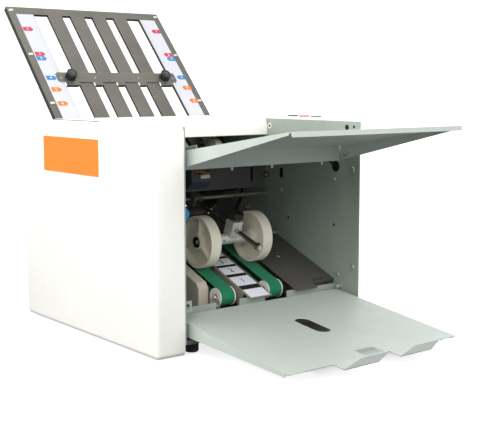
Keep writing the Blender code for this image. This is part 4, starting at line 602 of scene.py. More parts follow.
@dataclass(frozen=True)
class SoftRubber(Finish):
    """Vulcanised rubber with a matt bloom and ground marks."""

    colour: Colour = (0.018, 0.018, 0.019)
    rough: Point = (0.66, 0.86)
    gloss: float = 0.3
    edge_width: float = 0.0010
    edge_shade: float = 3.4
    ground: Grain = Grain(700.0, 4.0, 0.7, depth=0.00010)
    bloom: Grain = Grain(80.0, span=(0.45, 0.72), shade=2.6)

    def paint(self, s: Surface) -> None:
        """Grinds the rubber.

        Args:
            s: the new surface.
        """
        ground = s.noise(self.ground)
        base = s.coat(self.colour, self.colour, self.bloom)
        s.put(Base_Color=s.mix(s.edge(self.edge_width), base, shaded(self.colour, self.edge_shade)),
              Roughness=s.spread(ground, *self.rough), Specular_IOR_Level=self.gloss)
        s.relief((ground, self.ground.depth))


@dataclass(frozen=True)
class BeltCloth(Finish):
    """Woven conveyor belt with a green friction face, paler along its cut edges."""

    colour: Colour
    pitch: float = 1250.0
    weft_share: float = 0.8
    weft_bend: float = 0.4
    weave_share: float = 0.22
    weave_shade: float = 1.5
    weave_depth: float = 0.00010
    centre: float = 0.050
    half: float = 0.0135
    hem: Point = (0.0011, 0.0002)
    hem_share: float = 0.35
    pale: float = 1.9
    rough: Point = (0.62, 0.76)
    fuzz: float = 0.15
    gloss: float = 0.3
    shades: Point = (0.86, 1.12)
    cloud: Grain = Grain(30.0, 5.0, 0.6, (0.36, 0.68))
    scuff: Grain = Grain(120.0, 5.0, 0.7, (0.56, 0.72), (1.0, 0.12, 0.12), share=0.30)
    swell: Grain = Grain(400.0, 3.0, depth=0.00006)

    def paint(self, s: Surface) -> None:
        """Weaves the belt, scuffs it and pales its hems.

        Args:
            s: the new surface.
        """
        weft = s.bands(self.pitch * self.weft_share, "Y", self.weft_bend)
        weave = s.sums("MULTIPLY", s.bands(self.pitch, "X"), weft)
        base = s.tones(self.cloud, self.colour, self.shades)
        base = s.mix(s.blend(weave, 0.0, self.weave_share), base, shaded(self.colour, self.weave_shade))
        off = s.away(s.away(s.axis("X")), self.centre)
        hem = s.level(off, self.half - self.hem[0], self.half - self.hem[1], 0.0, self.hem_share)
        base = s.mix(s.sums("MAXIMUM", hem, s.film(self.scuff)), base, shaded(self.colour, self.pale))
        s.put(Base_Color=base, Roughness=s.blend(weave, *self.rough), Sheen_Weight=self.fuzz,
              Specular_IOR_Level=self.gloss)
        s.relief((weave, self.weave_depth), (s.noise(self.swell), self.swell.depth))


@dataclass(frozen=True)
class PrintedCard(Finish):
    """Printed card or film: an even coat over fine fibres, with faint rows of print where asked."""

    slot: str = field(default="white_plastic", kw_only=True)
    colour: Colour
    rows: float | None = None
    columns: float = 95.0
    gloss: float = 0.38
    ink: Colour = (0.50, 0.56, 0.68)
    ink_share: float = 0.42
    row_span: Point = (0.62, 0.80)
    column_span: Point = (0.30, 0.42)
    coat: Point = (0.15, 0.3)
    fibre_rough: Point = (-0.05, 0.08)
    fibre: Grain = Grain(1100.0, 4.0, 0.7, depth=0.00002)
    tone: Grain = Grain(22.0, span=(0.36, 0.66), shade=0.96)
    word: Grain = Grain(1260.0, 2.0, 0.5, (0.46, 0.54), (1.0, 0.25, 0.25))
    swell: Grain = Grain(40.0, 2.0, depth=0.00005)

    def paint(self, s: Surface) -> None:
        """Coats the card and prints its rows.

        Args:
            s: the new surface.
        """
        fibre = s.noise(self.fibre)
        base = s.coat(self.colour, self.colour, self.tone)
        if self.rows is not None:
            words = s.sums("MULTIPLY", s.level(s.bands(self.rows, "Y"), *self.row_span), s.film(self.word))
            words = s.sums("MULTIPLY", words, s.level(s.bands(self.columns, "X"), *self.column_span))
            base = s.mix(s.blend(words, 0.0, self.ink_share), base, self.ink)
        s.put(Base_Color=base, Roughness=s.spread(fibre, *(self.gloss + part for part in self.fibre_rough)),
              Coat_Weight=self.coat[0], Coat_Roughness=self.coat[1])
        s.relief((fibre, self.fibre.depth), (s.noise(self.swell), self.swell.depth))


@dataclass(frozen=True)
class Banded(Finish):
    """Two finishes on one turned piece: steel near its axis, and what is moulded round it."""

    core: Colour
    rim: Colour
    axis: Point
    core_radius: float = 0.0062
    rim_rough: float = 0.5
    core_rough: float = 0.26
    seam: float = 0.0002
    core_shade: float = 0.70
    rim_shade: float = 0.90
    edge_width: float = 0.0008
    edge_share: float = 0.5
    edge_shade: float = 1.2
    grain_rough: Point = (-0.05, 0.06)
    grain: Grain = Grain(1100.0, 3.0, 0.6, depth=0.00005)
    cloud: Grain = Grain(60.0, 4.0, 0.6, (0.38, 0.66))
    swell: Grain = Grain(200.0, 2.0, depth=0.00004)

    def paint(self, s: Surface) -> None:
        """Parts core and rim by their distance from the axis, given as its Y and Z.

        Args:
            s: the new surface.
        """
        offs = [s.sums("SUBTRACT", s.axis(name), middle) for name, middle in zip("YZ", self.axis)]
        square = s.sums("ADD", *(s.sums("MULTIPLY", off, off) for off in offs))
        outer = s.level(s.sums("SQRT", square), self.core_radius, self.core_radius + self.seam)
        grain, cloud = s.noise(self.grain), s.film(self.cloud)
        core = s.mix(cloud, self.core, shaded(self.core, self.core_shade))
        rim = s.mix(cloud, self.rim, shaded(self.rim, self.rim_shade))
        rim = s.mix(s.edge(self.edge_width, self.edge_share), rim, shaded(self.rim, self.edge_shade))
        rough = s.blend(outer, self.core_rough, self.rim_rough)
        s.put(Base_Color=s.mix(outer, core, rim), Metallic=s.blend(outer, 1.0, 0.0),
              Roughness=s.sums("ADD", rough, s.spread(grain, *self.grain_rough)))
        s.relief((grain, self.grain.depth), (s.noise(self.swell), self.swell.depth))


@dataclass(frozen=True)
class BoardLacquer(Finish):
    """Circuit board: green lacquer with copper tracks below, dark parts standing above it."""

    surface: float
    step: float = 0.0003
    tracks: float = 160.0
    track_squash: Sequence[float] = (1.0, 1.0, 0.01)
    track_span: Point = (0.03, 0.06)
    track_depth: float = 0.00003
    track_colour: Colour = (0.06, 0.22, 0.10)
    board_colour: Colour = (0.012, 0.085, 0.035)
    part_colours: tuple[Colour, Colour] = ((0.015, 0.015, 0.017), (0.10, 0.10, 0.11))
    rough: Point = (0.25, 0.5)
    part: Grain = Grain(60.0, 1.0, span=(0.48, 0.52))
    fine: Grain = Grain(900.0, 2.0, depth=0.00003)

    def paint(self, s: Surface) -> None:
        """Lacquers the board below its surface's height, and colours the parts above.

        Args:
            s: the new surface.
        """
        above = s.level(s.axis("Z"), self.surface, self.surface + self.step)
        track = s.level(s.cells(self.tracks, self.track_squash, "DISTANCE_TO_EDGE"), *self.track_span)
        board = s.mix(track, self.track_colour, self.board_colour)
        parts = s.mix(s.film(self.part), *self.part_colours)
        s.put(Base_Color=s.mix(above, board, parts), Roughness=s.blend(above, *self.rough))
        s.relief((track, self.track_depth), (s.noise(self.fine), self.fine.depth))


@dataclass(frozen=True)
class CableJacket(Finish):
    """Soft cable covering with long flow lines and scuffs."""

    slot: str = field(default="wire_sleeve", kw_only=True)
    colour: Colour
    rough: Point = (0.40, 0.56)
    skin: Grain = Grain(900.0, 3.0, 0.6, (0.60, 0.75), depth=0.00005, share=0.4, shade=0.60)
    tone: Grain = Grain(45.0, span=(0.38, 0.66), shade=0.80)

    def paint(self, s: Surface) -> None:
        """Draws the jacket.

        Args:
            s: the new surface.
        """
        skin = s.noise(self.skin)
        base = s.coat(self.colour, self.colour, self.tone)
        s.put(Base_Color=s.coat(base, self.colour, self.skin, skin), Roughness=s.spread(skin, *self.rough))
        s.relief((skin, self.skin.depth))


@dataclass(frozen=True)
class StudioPaper(Finish):
    """Seamless pale background paper that glows as painted light, washing out the floor's cast shadows,
    except for a painted shadow under the exit tray.
    """

    colour: Colour = (0.60, 0.60, 0.60)
    shade_middle: Point = (0.055, -0.170)
    shade_half: Point = (0.105, 0.150)
    shade_span: Point = (0.70, 1.35)
    glow: float = 0.80
    gloss: float = 0.1
    rough: Point = (0.86, 0.94)
    cloud: Grain = Grain(3.0, 3.0, span=(0.35, 0.65), shade=0.99)
    fibre: Grain = Grain(900.0, 2.0)

    def paint(self, s: Surface) -> None:
        """Makes the paper glow as painted light outside a soft rectangle, left dark as a painted shadow
        under the exit tray.

        Args:
            s: the new surface.
        """
        s.put(Base_Color=s.coat(self.colour, self.colour, self.cloud), Specular_IOR_Level=self.gloss,
              Roughness=s.spread(s.noise(self.fibre), *self.rough), Emission_Color=WHITE)
        # Painted shadow: the emission fades to nothing inside a soft rectangle under the exit tray; the glow
        # elsewhere is painted light.
        sides = zip("XY", self.shade_middle, self.shade_half)
        across, along = (s.sums("DIVIDE", s.away(s.axis(name), middle), half)
                         for name, middle, half in sides)
        reach = s.sums("MAXIMUM", across, along)
        s.put(Emission_Strength=s.level(reach, *self.shade_span, 0.0, self.glow))


CREAM_PAINT = PowderCoat("cream_cover_paint", linear("f7f6f1"), rough=0.40, worn=0.10)
FRAME_PAINT = PowderCoat("grey_frame_paint", linear("9ca69d"), rough=0.36, soil=0.88)
TRAY_PAINT = PowderCoat("pale_tray_paint", linear("c0c8c2"), rough=0.38, soil=0.93, slot="tray_paint")
# The exit tray's drooping lip gets painted shade.
EXIT_PAINT = PowderCoat("exit_tray_paint", linear("bac3bd"), rough=0.38, soil=0.93, lip=0.4020)
DECK_PAINT = PowderCoat("dark_deck_paint", linear("575450"), rough=0.42, soil=0.85, bare=(0.28, 0.27, 0.26))
RAIL_PAINT = PowderCoat("rail_paint", linear("8b8678"), rough=0.42, soil=0.80)
PANEL_PAINT = PowderCoat("black_panel_paint", linear("5e5e5f"), rough=0.36, bare=(0.30, 0.30, 0.29))
PLATE_STEEL = BrushedSteel("fold_plate_steel", linear("6d6a64"), flank=0.1697)
GUIDE_STEEL = BrushedSteel("side_guide_steel", linear("a9aaa6"), metal=0.85, rough=0.34, slot="bright_steel")
BRACKET_STEEL = BrushedSteel("dark_bracket_steel", linear("4c4a47"), metal=0.6, shine=(0.3, 0.3, 0.28),
                             slot="dark_steel")
BRIGHT_STEEL = TurnedSteel("bright_rod_steel")
GUIDE_ROD_STEEL = TurnedSteel("guide_rod_steel", colour=linear("a8a194"), rough=0.14)
ROD_STEEL = TurnedSteel("bronzed_rod_steel", colour=linear("b3ab9b"), rough=0.34, metal=0.75)
SCREW_STEEL = TurnedSteel("zinc_screw_steel", colour=(0.78, 0.76, 0.70), rough=0.30, metal=0.85)
ALLOY = CastAlloy("carriage_alloy")
WHEEL_PLASTIC = MouldedPlastic("beige_wheel_plastic", linear("e6dfcf"), rough=0.44)
BLOCK_PLASTIC = MouldedPlastic("beige_block_plastic", linear("cfc8b8"), rough=0.50)
BLACK_PLASTIC = MouldedPlastic("black_knob_plastic", linear("1d1d1f"), rough=0.36, flow=0.80,
                               slot="black_plastic")
GREY_BUTTON = MouldedPlastic("grey_button_plastic", linear("4a4450"), rough=0.40)
SLATE_PLASTIC = MouldedPlastic("slate_pad_plastic", linear("4c5560"), rough=0.55)
WHITE_PLASTIC = MouldedPlastic("white_connector_plastic", linear("f2ece0"), rough=0.42, slot="white_plastic")
BLUE_PLASTIC = MouldedPlastic("blue_knob_plastic", linear("0489c4"), rough=0.38)
GREEN_PLASTIC = MouldedPlastic("green_button_plastic", linear("3d7a63"), rough=0.38)
RED_PLASTIC = MouldedPlastic("red_button_plastic", linear("d0525e"), rough=0.38)
RUBBER = SoftRubber("black_rubber")
# Black felt for the rear slot seals and the rail's gap tape, also used as painted shade in and behind the
# right frame's holes.
FELT_AND_HOLE_SHADE = SoftRubber("black_hole_felt", (0.008, 0.008, 0.008),
                       ground=Grain(1500.0, 4.0, 0.7, depth=0.00010), slot="black_plastic")
BELT = BeltCloth("green_conveyor_belt", linear("087a52"))
LOOM_SLEEVE = CableJacket("dark_loom_sleeve", linear("2c2a2b"))
ORANGE_FILM = PrintedCard("orange_label_film", linear("ee8812"), gloss=0.52, slot="cover_paint")
SCALE_CARD = PrintedCard("fold_scale_card", linear("c6c7ce"), rows=420.0)
CELL_CARD = PrintedCard("number_cell_card", linear("f2f5ff"))
DARK_INK = PrintedCard("dark_number_ink", linear("2a2c33"))
SCALE_INK = PrintedCard("grey_scale_ink", linear("a2a9b6"))
WHITE_INK = PrintedCard("white_number_ink", linear("f7f3ee"))


class Tag(Enum):
    """Colour of a fold scale's arrow tag."""

    RED = linear("c01f4c")
    BLUE = linear("1478b4")
    ORANGE = linear("e0701a")

    def finish(self) -> PrintedCard:
        """The tag's printed film."""
        return PrintedCard(f"{self.name.lower()}_tag_film", self.value, gloss=0.34)


# Mesh building
def rounded(width: float, height: float, radius: float, steps: int = CORNER_STEPS) -> list[Point]:
    """Outline of a rectangle with round corners about its centre.

    Args:
        width: size along the first axis.
        height: size along the second axis.
        radius: corner radius.
        steps: number of segments of each corner.

    Returns:
        The outline's points, anticlockwise.
    """
    points = []
    for index, (sx, sy) in enumerate(((1, 1), (-1, 1), (-1, -1), (1, -1))):
        x, y = sx * (width / 2 - radius), sy * (height / 2 - radius)
        for step in range(steps + 1):
            angle = math.radians(90.0 * (index + step / steps))
            points.append((x + radius * math.cos(angle), y + radius * math.sin(angle)))
    return points


def circle(radius: float, sides: int) -> list[Point]:
    """Regular outline about the origin, anticlockwise."""
    angles = [math.tau / sides * i for i in range(sides)]
    return [(radius * math.cos(angle), radius * math.sin(angle)) for angle in angles]


class Shape:
    """Mesh of one piece while it is made."""

    def __init__(self) -> None:
        """Starts with no faces."""
        self.mesh = bmesh.new()

    def rings(self, rings: Sequence[Sequence[Vector]], closed: bool = True) -> "Shape":
        """Skins rings of points that have the same count.

        Args:
            rings: the rings in order.
            closed: True if the first and the last get a lid.

        Returns:
            This shape.
        """
        rows = [[self.mesh.verts.new(point) for point in ring] for ring in rings]
        for one, two in zip(rows, rows[1:]):
            for i in range(len(one)):
                j = (i + 1) % len(one)
                self.mesh.faces.new((one[i], one[j], two[j], two[i]))
        if closed:
            self.mesh.faces.new(rows[0][::-1])
            self.mesh.faces.new(rows[-1])
        return self

    def slab(self, outline: Sequence[Point], low: float, high: float, place: Matrix = Matrix(),
             ease: float = 0.0) -> "Shape":
        """Flat plate from an outline, its upper edge eased.

        Args:
            outline: points in the plate's plane.
            low: height of its lower face.
            high: height of its upper face.
            place: where the plane lies.
            ease: chamfer of the upper edge.

        Returns:
            This shape.
        """
        centre = Vector((sum(p[0] for p in outline), sum(p[1] for p in outline))) / len(outline)
        levels = [(low, 0.0), (high - ease, 0.0), (high, ease)] if ease else [(low, 0.0), (high, 0.0)]
        rows = []
        for height, inset in levels:
            row = []
            for point in outline:
                flat = Vector(point)
                reach = flat - centre
                if inset and reach.length > inset:
                    flat = centre + reach * (1 - inset / reach.length)
                row.append(place @ Vector((flat.x, flat.y, height)))
            rows.append(row)
        return self.rings(rows)

    def turned(self, profile: Profile, place: Matrix = Matrix(), sides: int = Sides.TURNED,
               closed: bool = True) -> "Shape":
        """Turned body from a profile of height and radius.

        Args:
            profile: pairs of height and radius.
            place: where its axis lies.
            sides: number of faces round it.
            closed: True if both ends get a lid.

        Returns:
            This shape.
        """
        rows = [[place @ Vector((x, y, height)) for x, y in circle(radius, sides)]
                for height, radius in profile]
        return self.rings(rows, closed)

    def pipe(self, path: Sequence[Vector], radius: float, sides: int = Sides.WIRE) -> "Shape":
        """Round strand along a path.

        Args:
            path: the points it passes.
            radius: its half thickness.
            sides: number of faces round it.

        Returns:
            This shape.
        """
        rows = []
        side = None
        for index, point in enumerate(path):
            ahead = path[min(index + 1, len(path) - 1)] - path[max(index - 1, 0)]
            ahead.normalize()
            if side is None:
                side = ahead.orthogonal().normalized()
            side = (side - ahead * side.dot(ahead)).normalized()
            other = ahead.cross(side)
            rows.append([point + side * x + other * y for x, y in circle(radius, sides)])
        return self.rings(rows)

    def bake(self, name: str, finish: Finish) -> bpy.types.Object:
        """Turns the shape into a smooth object and lets go of it.

        Args:
            name: the object's name.
            finish: its finish.

        Returns:
            The new object.
        """
        bmesh.ops.recalc_face_normals(self.mesh, faces=self.mesh.faces)
        mesh = bpy.data.meshes.new(name)
        self.mesh.to_mesh(mesh)
        self.mesh.free()
        mesh.polygons.foreach_set("use_smooth", [True] * len(mesh.polygons))
        mesh.materials.append(finish.material())
        piece = bpy.data.objects.new(name, mesh)
        bpy.context.scene.collection.objects.link(piece)
        return piece


def smooth_path(points: Sequence[Sequence[float]], steps: int = CURVE_STEPS) -> list[Vector]:
    """Smooth curve through given points.

    Args:
        points: places that the curve passes.
        steps: number of parts between two places.

    Returns:
        The curve's points.
    """
    knots = [Vector(p) for p in points]
    knots = [knots[0] * 2 - knots[1], *knots, knots[-1] * 2 - knots[-2]]
    path = []
    for a, b, c, d in zip(knots, knots[1:], knots[2:], knots[3:]):
        for step in range(steps):
            t = step / steps
            path.append(0.5 * (2 * b + (c - a) * t + (2 * a - 5 * b + 4 * c - d) * t ** 2
                               + (3 * b - a - 3 * c + d) * t ** 3))
    return [*path, knots[-2]]


def numeral(text: str, height: float, depth: float) -> Shape:
    """Raised digits, centred on their own frame.

    Args:
        text: the digits.
        height: size of the type.
        depth: how far they stand up.

    Returns:
        The shape.
    """
    curve = bpy.data.curves.new("type", "FONT")
    curve.body = text
    curve.size = height
    curve.extrude = depth / 2
    curve.resolution_u = TYPE_STEPS
    curve.align_x, curve.align_y = "CENTER", "CENTER"
    holder = bpy.data.objects.new("type", curve)
    bpy.context.scene.collection.objects.link(holder)
    bpy.context.view_layer.update()
    shape = Shape()
    shape.mesh.from_mesh(holder.to_mesh())
    holder.to_mesh_clear()
    bpy.data.objects.remove(holder)
    return shape


def bevelled(piece: bpy.types.Object, width: float) -> None:
    """Rounds a piece's hard edges.

    Args:
        piece: the object.
        width: size of the rounding.
    """
    bevel = piece.modifiers.new("eased_edges", "BEVEL")
    bevel.limit_method = "ANGLE"
    bevel.angle_limit = CREASE
    bevel.width = width
    bevel.segments = BEVEL_FACES
    bevel.harden_normals = True
    bevel.use_clamp_overlap = True


def fitted(name: str, shape: Shape, finish: Finish, place: Matrix = Matrix(), body: str = "chassis",
           soften: float = 0.0) -> None:
    """Makes a piece, paints it and lets it ride on a body.

    Args:
        name: the piece's name.
        shape: its mesh.
        finish: its finish.
        place: where its own frame lies.
        body: name of the body that carries it.
        soften: width of the bevel along its hard edges.
    """
    bmesh.ops.remove_doubles(shape.mesh, verts=shape.mesh.verts, dist=WELD)
    piece = shape.bake(name, finish)
    piece.data.set_sharp_from_angle(angle=CREASE)
    piece.matrix_world = place
    if soften:
        bevelled(piece, soften)
    bpy.context.view_layer.update()
    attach(piece, body)
    LOG.info("%s rides on %s", name, body)


def easing_group() -> bpy.types.NodeTree:
    """Joins a frame piece's facets and shades its round faces smooth.

    Returns:
        The node group, made once.
    """
    group = bpy.data.node_groups.get("joined_facets")
    if group:
        return group
    group = bpy.data.node_groups.new("joined_facets", "GeometryNodeTree")
    for way in ("INPUT", "OUTPUT"):
        group.interface.new_socket("Geometry", in_out=way, socket_type="NodeSocketGeometry")
    nodes, links = group.nodes, group.links
    merge = nodes.new("GeometryNodeMergeByDistance")
    merge.inputs["Distance"].default_value = MERGE
    strip = nodes.new("GeometryNodeRemoveAttribute")
    strip.inputs["Name"].default_value = "custom_normal"
    faces = nodes.new("GeometryNodeSetShadeSmooth")
    edges = nodes.new("GeometryNodeSetShadeSmooth")
    edges.domain = "EDGE"
    angle = nodes.new("GeometryNodeInputMeshEdgeAngle")
    below = nodes.new("FunctionNodeCompare")
    below.operation = "LESS_THAN"
    below.inputs["B"].default_value = CREASE
    links.new(angle.outputs["Unsigned Angle"], below.inputs["A"])
    links.new(below.outputs["Result"], edges.inputs["Shade Smooth"])
    chain = [nodes.new("NodeGroupInput"), merge, strip, faces, edges, nodes.new("NodeGroupOutput")]
    for one, two in zip(chain, chain[1:]):
        links.new(one.outputs[0], two.inputs[0])
    return group


def dressed(finish: Finish, edge: Edge, *nodes: str) -> None:
    """Paints some of the frame's own pieces and eases their edges.

    Args:
        finish: their finish.
        edge: the bevel along their edges.
        nodes: the pieces' names in the frame.
    """
    for node in nodes:
        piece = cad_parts[node]
        for slot in piece.material_slots:
            slot.material = finish.material()
        joined = piece.modifiers.new("joined_facets", "NODES")
        joined.node_group = easing_group()
        if edge is not Edge.SHARP:
            flat = piece.modifiers.new("flat_faces", "DECIMATE")
            flat.decimate_type = "DISSOLVE"
            flat.angle_limit = FLAT
            bevelled(piece, edge.value)
        LOG.info("%s dressed as %s", node, finish.name)


@dataclass(frozen=True)
class CrossHead:
    """Domed screw head with a cross recess, standing on its own plane."""

    radius: float
    height: float
    arm_share: float = 0.62
    slot_share: float = 0.15
    recess_share: float = 0.45
    recess_taper: float = 0.8
    wall_share: float = 0.45
    dome_share: float = 0.85
    dome_taper: float = 0.86

    def shape(self) -> Shape:
        """Skins the head from its rim up and down into the recess.

        Returns:
            The shape.
        """
        arm, slot = self.radius * self.arm_share, self.radius * self.slot_share
        outline = []
        for quarter in range(4):
            turn = Matrix.Rotation(math.radians(90 * quarter), 2)
            outline += [turn @ Vector(p) for p in ((slot, slot), (arm, slot), (arm, -slot))]
        cross, ring = (sorted((Vector((x, y, 0.0)) for x, y in points), key=lambda p: math.atan2(p.y, p.x))
                       for points in (outline, circle(self.radius, len(outline))))
        wall, dome, top = (Vector((0.0, 0.0, self.height * share))
                           for share in (self.wall_share, self.dome_share, 1.0))
        floor = Vector((0.0, 0.0, self.height - self.height * self.recess_share))
        return Shape().rings([
            ring, [p + wall for p in ring], [p * self.dome_taper + dome for p in ring],
            [p + top for p in cross], [p * self.recess_taper + floor for p in cross]])


@dataclass(frozen=True)
class StudClip:
    """Flat sheet clip with a round stud through it."""

    width: float
    height: float
    corner: float
    thick: float
    ease: float
    stud: Profile
    stud_x: float
    corner_steps: int = FEW_STEPS

    def shape(self) -> Shape:
        """Cuts the sheet and sets the stud in it.

        Returns:
            The shape.
        """
        outline = rounded(self.width, self.height, self.corner, self.corner_steps)
        plate = Shape().slab(outline, 0.0, self.thick, ease=self.ease)
        return plate.turned(self.stud, at(self.stud_x, 0.0, 0.0), Sides.SMALL)


@dataclass(frozen=True)
class Datum:
    """Sloped plane of the machine, turned about the left-right axis."""

    y: float
    z: float
    slope: float

    def matrix(self, x: float = 0.0, along: float = 0.0, lift: float = 0.0) -> Matrix:
        """Frame at a place across the plane, a distance up its slope and a height over it."""
        return at(0.0, self.y, self.z) @ spin(self.slope) @ at(x, along, lift)


UPPER_PLATE = Datum(0.137745, 0.2487, 47.5)
CONVEYOR = Datum(0.033745, 0.133, 21.3394)
ARM_SLOPE = 19.4


# Sub-assemblies
@dataclass
class Enclosure:
    """Side covers, top cover, rear cover and the bare orange label."""

    label_y: Point = (-0.0246, 0.1558)
    label_z: Point = (0.2631, 0.3210)
    label_thick: float = 0.0006
    label_corner: float = 0.0012
    side: float = -0.231
    screw: CrossHead = CrossHead(0.0034, 0.0014)
    screw_in: Point = (0.012, 0.03)

    def build(self) -> None:
        """Paints the covers and adds the label and the cover screws."""
        dressed(CREAM_PAINT, Edge.FOLDED, "left_cover", "right_cover", "top_cover")
        dressed(CREAM_PAINT, Edge.SHEARED, "rear_cover")
        self.label()
        self.screws()

    def label(self) -> None:
        """Adds the orange film on the left cover."""
        place = at(self.side, sum(self.label_y) / 2, sum(self.label_z) / 2) @ spin(180.0, "Z") @ SIDEWAYS
        width = self.label_y[1] - self.label_y[0]
        height = self.label_z[1] - self.label_z[0]
        film = Shape().slab(rounded(width, height, self.label_corner), 0.0, self.label_thick, ease=SKIN)
        fitted("orange_label", film, ORANGE_FILM, place)

    def screws(self) -> None:
        """Adds the screws at the rear cover's corners."""
        low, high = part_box("rear_cover")
        inset, margin = self.screw_in
        spots = [(x, high.y, z) for x in (low.x + inset, high.x - inset)
                 for z in (low.z + margin, high.z - margin)]
        for index, spot in enumerate(spots):
            fitted(f"rear_screw_{index + 1}", self.screw.shape(), SCREW_STEEL, at(*spot) @ spin(-90.0))


@dataclass
class SideFrames:
    """Painted side frames, base pan, cross parts and feet.

    Places on the frames are given as Y and Z. Screws, plugs and holes add a radius, and pins a
    length and a radius.
    """

    inner: float = 0.178
    outer: float = 0.1803
    head_thick: float = 0.0024
    screws: Sequence[tuple[float, float, float]] = (
        (-0.166255, 0.263, 0.0046), (-0.121255, 0.244, 0.00345), (-0.167755, 0.097, 0.0046),
        (-0.131755, 0.0786, 0.00345), (0.019745, 0.2145, 0.00345), (-0.1555, 0.2879, 0.0038))
    pins: Sequence[tuple[float, float, float, float]] = (
        (-0.1408, 0.0598, 0.0105, 0.0034), (0.113245, 0.1745, 0.0080, 0.0036),
        (0.0300, 0.1345, 0.0110, 0.0026))
    pin_ease: float = 0.0006
    pin_bore_shares: Point = (0.45, 0.35)
    plugs: Sequence[tuple[float, float, float]] = (
        (-0.000255, 0.1650, 0.0023), (-0.121255, 0.1646, 0.0023), (-0.1243, 0.2663, 0.0093))
    plug_wall: float = 0.0003
    plug_thick: float = 0.0005
    slot: Point = (0.0197, 0.2457)
    slot_size: Point = (0.0180, 0.0086)
    slot_corner: float = 0.003
    # Thickness of the black discs and sheet that paint shade into the right frame's holes and slot.
    backing: float = 0.0004
    holes: Sequence[tuple[float, float, float]] = (
        (-0.150255, 0.3335, 0.0066), (-0.167255, 0.3350, 0.0042), (-0.121255, 0.1646, 0.0030),
        (-0.000255, 0.1650, 0.0030), (0.053745, 0.3306, 0.0042), (-0.125255, 0.2655, 0.0078))
    bush_at: Point = (0.053745, 0.3306)
    bush: Profile = ((0.0, 0.0052), (0.0006, 0.0050), (0.0006, 0.0032), (-0.0010, 0.0029))
    nut_at: Point = (0.0598, 0.2397)
    nut_radius: float = 0.0056
    nut_thick: float = 0.0030
    nut_screw: CrossHead = CrossHead(0.0026, 0.0014)
    notch: float = 0.0007
    notches: int = 12
    notch_steps: int = 4
    felt_y: float = 0.2349
    felt_side: float = 0.002
    felt_thick: float = 0.0006
    felt_corner: float = 0.001
    felts: Sequence[tuple[str, float, float]] = (("lower", 0.1375, 0.1500), ("upper", 0.1705, 0.1815))

    def build(self) -> None:
        """Paints the frames and what joins them, and adds what is fixed to them."""
        dressed(FRAME_PAINT, Edge.SHEARED, "left_frame", "right_frame", "front_cross_member")
        dressed(DECK_PAINT, Edge.SHEARED, "base_pan")
        dressed(PANEL_PAINT, Edge.SHEARED, "cross_panel")
        dressed(SLATE_PLASTIC, Edge.FOLDED, "separator_block")
        dressed(ROD_STEEL, Edge.SHARP, "cross_rod")
        dressed(RUBBER, Edge.FOLDED, "front_left_foot", "front_right_foot", "rear_left_foot",
                "rear_right_foot")
        self.heads()
        self.bright_pins()
        # Painted shade: black discs in and behind the right frame's holes and over its slot.
        self.dark_plugs()
        fitted("right_frame_bush", Shape().turned(self.bush, self.inward(1, *self.bush_at), closed=False),
               WHITE_PLASTIC)
        self.rear_felts()
        self.ring_nut()
        self.hole_backs()

    def heads(self) -> None:
        """Adds the screw heads inside both frames."""
        for side, name in ((-1, "left"), (1, "right")):
            for index, (y, z, radius) in enumerate(self.screws):
                head = CrossHead(radius, self.head_thick).shape()
                fitted(f"{name}_frame_screw_{index + 1}", head, SCREW_STEEL, self.inward(side, y, z))

    def bright_pins(self) -> None:
        """Adds the pins that stand out of the right frame."""
        for index, (y, z, length, radius) in enumerate(self.pins):
            shoulder = length - self.pin_ease
            mouth, bottom = (radius * share for share in self.pin_bore_shares)
            pin = Shape().turned([(0.0, radius), (shoulder, radius), (length, radius - self.pin_ease),
                                  (length, mouth), (shoulder, bottom)], sides=Sides.HOLE)
            fitted(f"right_frame_pin_{index + 1}", pin, SCREW_STEEL, self.inward(1, y, z))

    def dark_plugs(self) -> None:
        """Adds black discs as painted shade in the right frame's plain holes, and a black sheet as painted
        shade over its slot.
        """
        plugs = Shape()
        for y, z, radius in self.plugs:
            profile = [(0.0, radius), (self.plug_wall, radius), (self.plug_thick, radius - self.plug_wall)]
            plugs.turned(profile, self.inward(1, y, z))
        outline = rounded(*self.slot_size, self.slot_corner)
        plugs.slab(outline, 0.0, self.backing, at(self.inner, *self.slot) @ spin(-90.0, "Y"))
        fitted("right_frame_plugs", plugs, FELT_AND_HOLE_SHADE)

    def hole_backs(self) -> None:
        """Adds black discs as painted shade behind the right frame's through holes."""
        backs = Shape()
        for y, z, radius in self.holes:
            backs.slab(circle(radius, Sides.HOLE), 0.0, self.backing, at(self.outer, y, z) @ SIDEWAYS)
        fitted("right_frame_hole_backs", backs, FELT_AND_HOLE_SHADE)

    def ring_nut(self) -> None:
        """Adds the notched nut with its screw beside the cross panel's right end."""
        place = self.inward(1, *self.nut_at)
        outline = []
        steps = self.notches * self.notch_steps
        for step in range(steps):
            angle = math.tau * step / steps
            sunk = step % self.notch_steps >= self.notch_steps / 2
            radius = self.nut_radius - (self.notch if sunk else 0.0)
            outline.append((radius * math.cos(angle), radius * math.sin(angle)))
        nut = Shape().slab(outline, 0.0, self.nut_thick, place, ease=SKIN)
        fitted("right_frame_ring_nut", nut, BRACKET_STEEL)
        upon = place @ at(0.0, 0.0, self.nut_thick)
        fitted("right_frame_ring_screw", self.nut_screw.shape(), SCREW_STEEL, upon)

    def rear_felts(self) -> None:
        """Adds the two felt seals that close the rear slot round the lower fold plate."""
        low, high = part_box("lower_fold_plate")
        width = ((high.x - low.x) / 2 + self.felt_side) * 2
        for name, bottom, top in self.felts:
            outline = rounded(width, top - bottom, self.felt_corner, FEW_STEPS)
            place = at(0.0, self.felt_y, (bottom + top) / 2) @ spin(90.0)
            fitted(f"rear_slot_{name}_felt", Shape().slab(outline, 0.0, self.felt_thick, place), FELT_AND_HOLE_SHADE)

    def inward(self, side: int, y: float, z: float) -> Matrix:
        """Frame on a side sheet's inner face, its third axis into the bay.

        Args:
            side: -1 or 1 across the machine.
            y: place along the machine.
            z: height.

        Returns:
            The frame's matrix.
        """
        flip = spin(180.0, "Z") if side > 0 else Matrix()
        return at(side * self.inner, y, z) @ flip @ SIDEWAYS


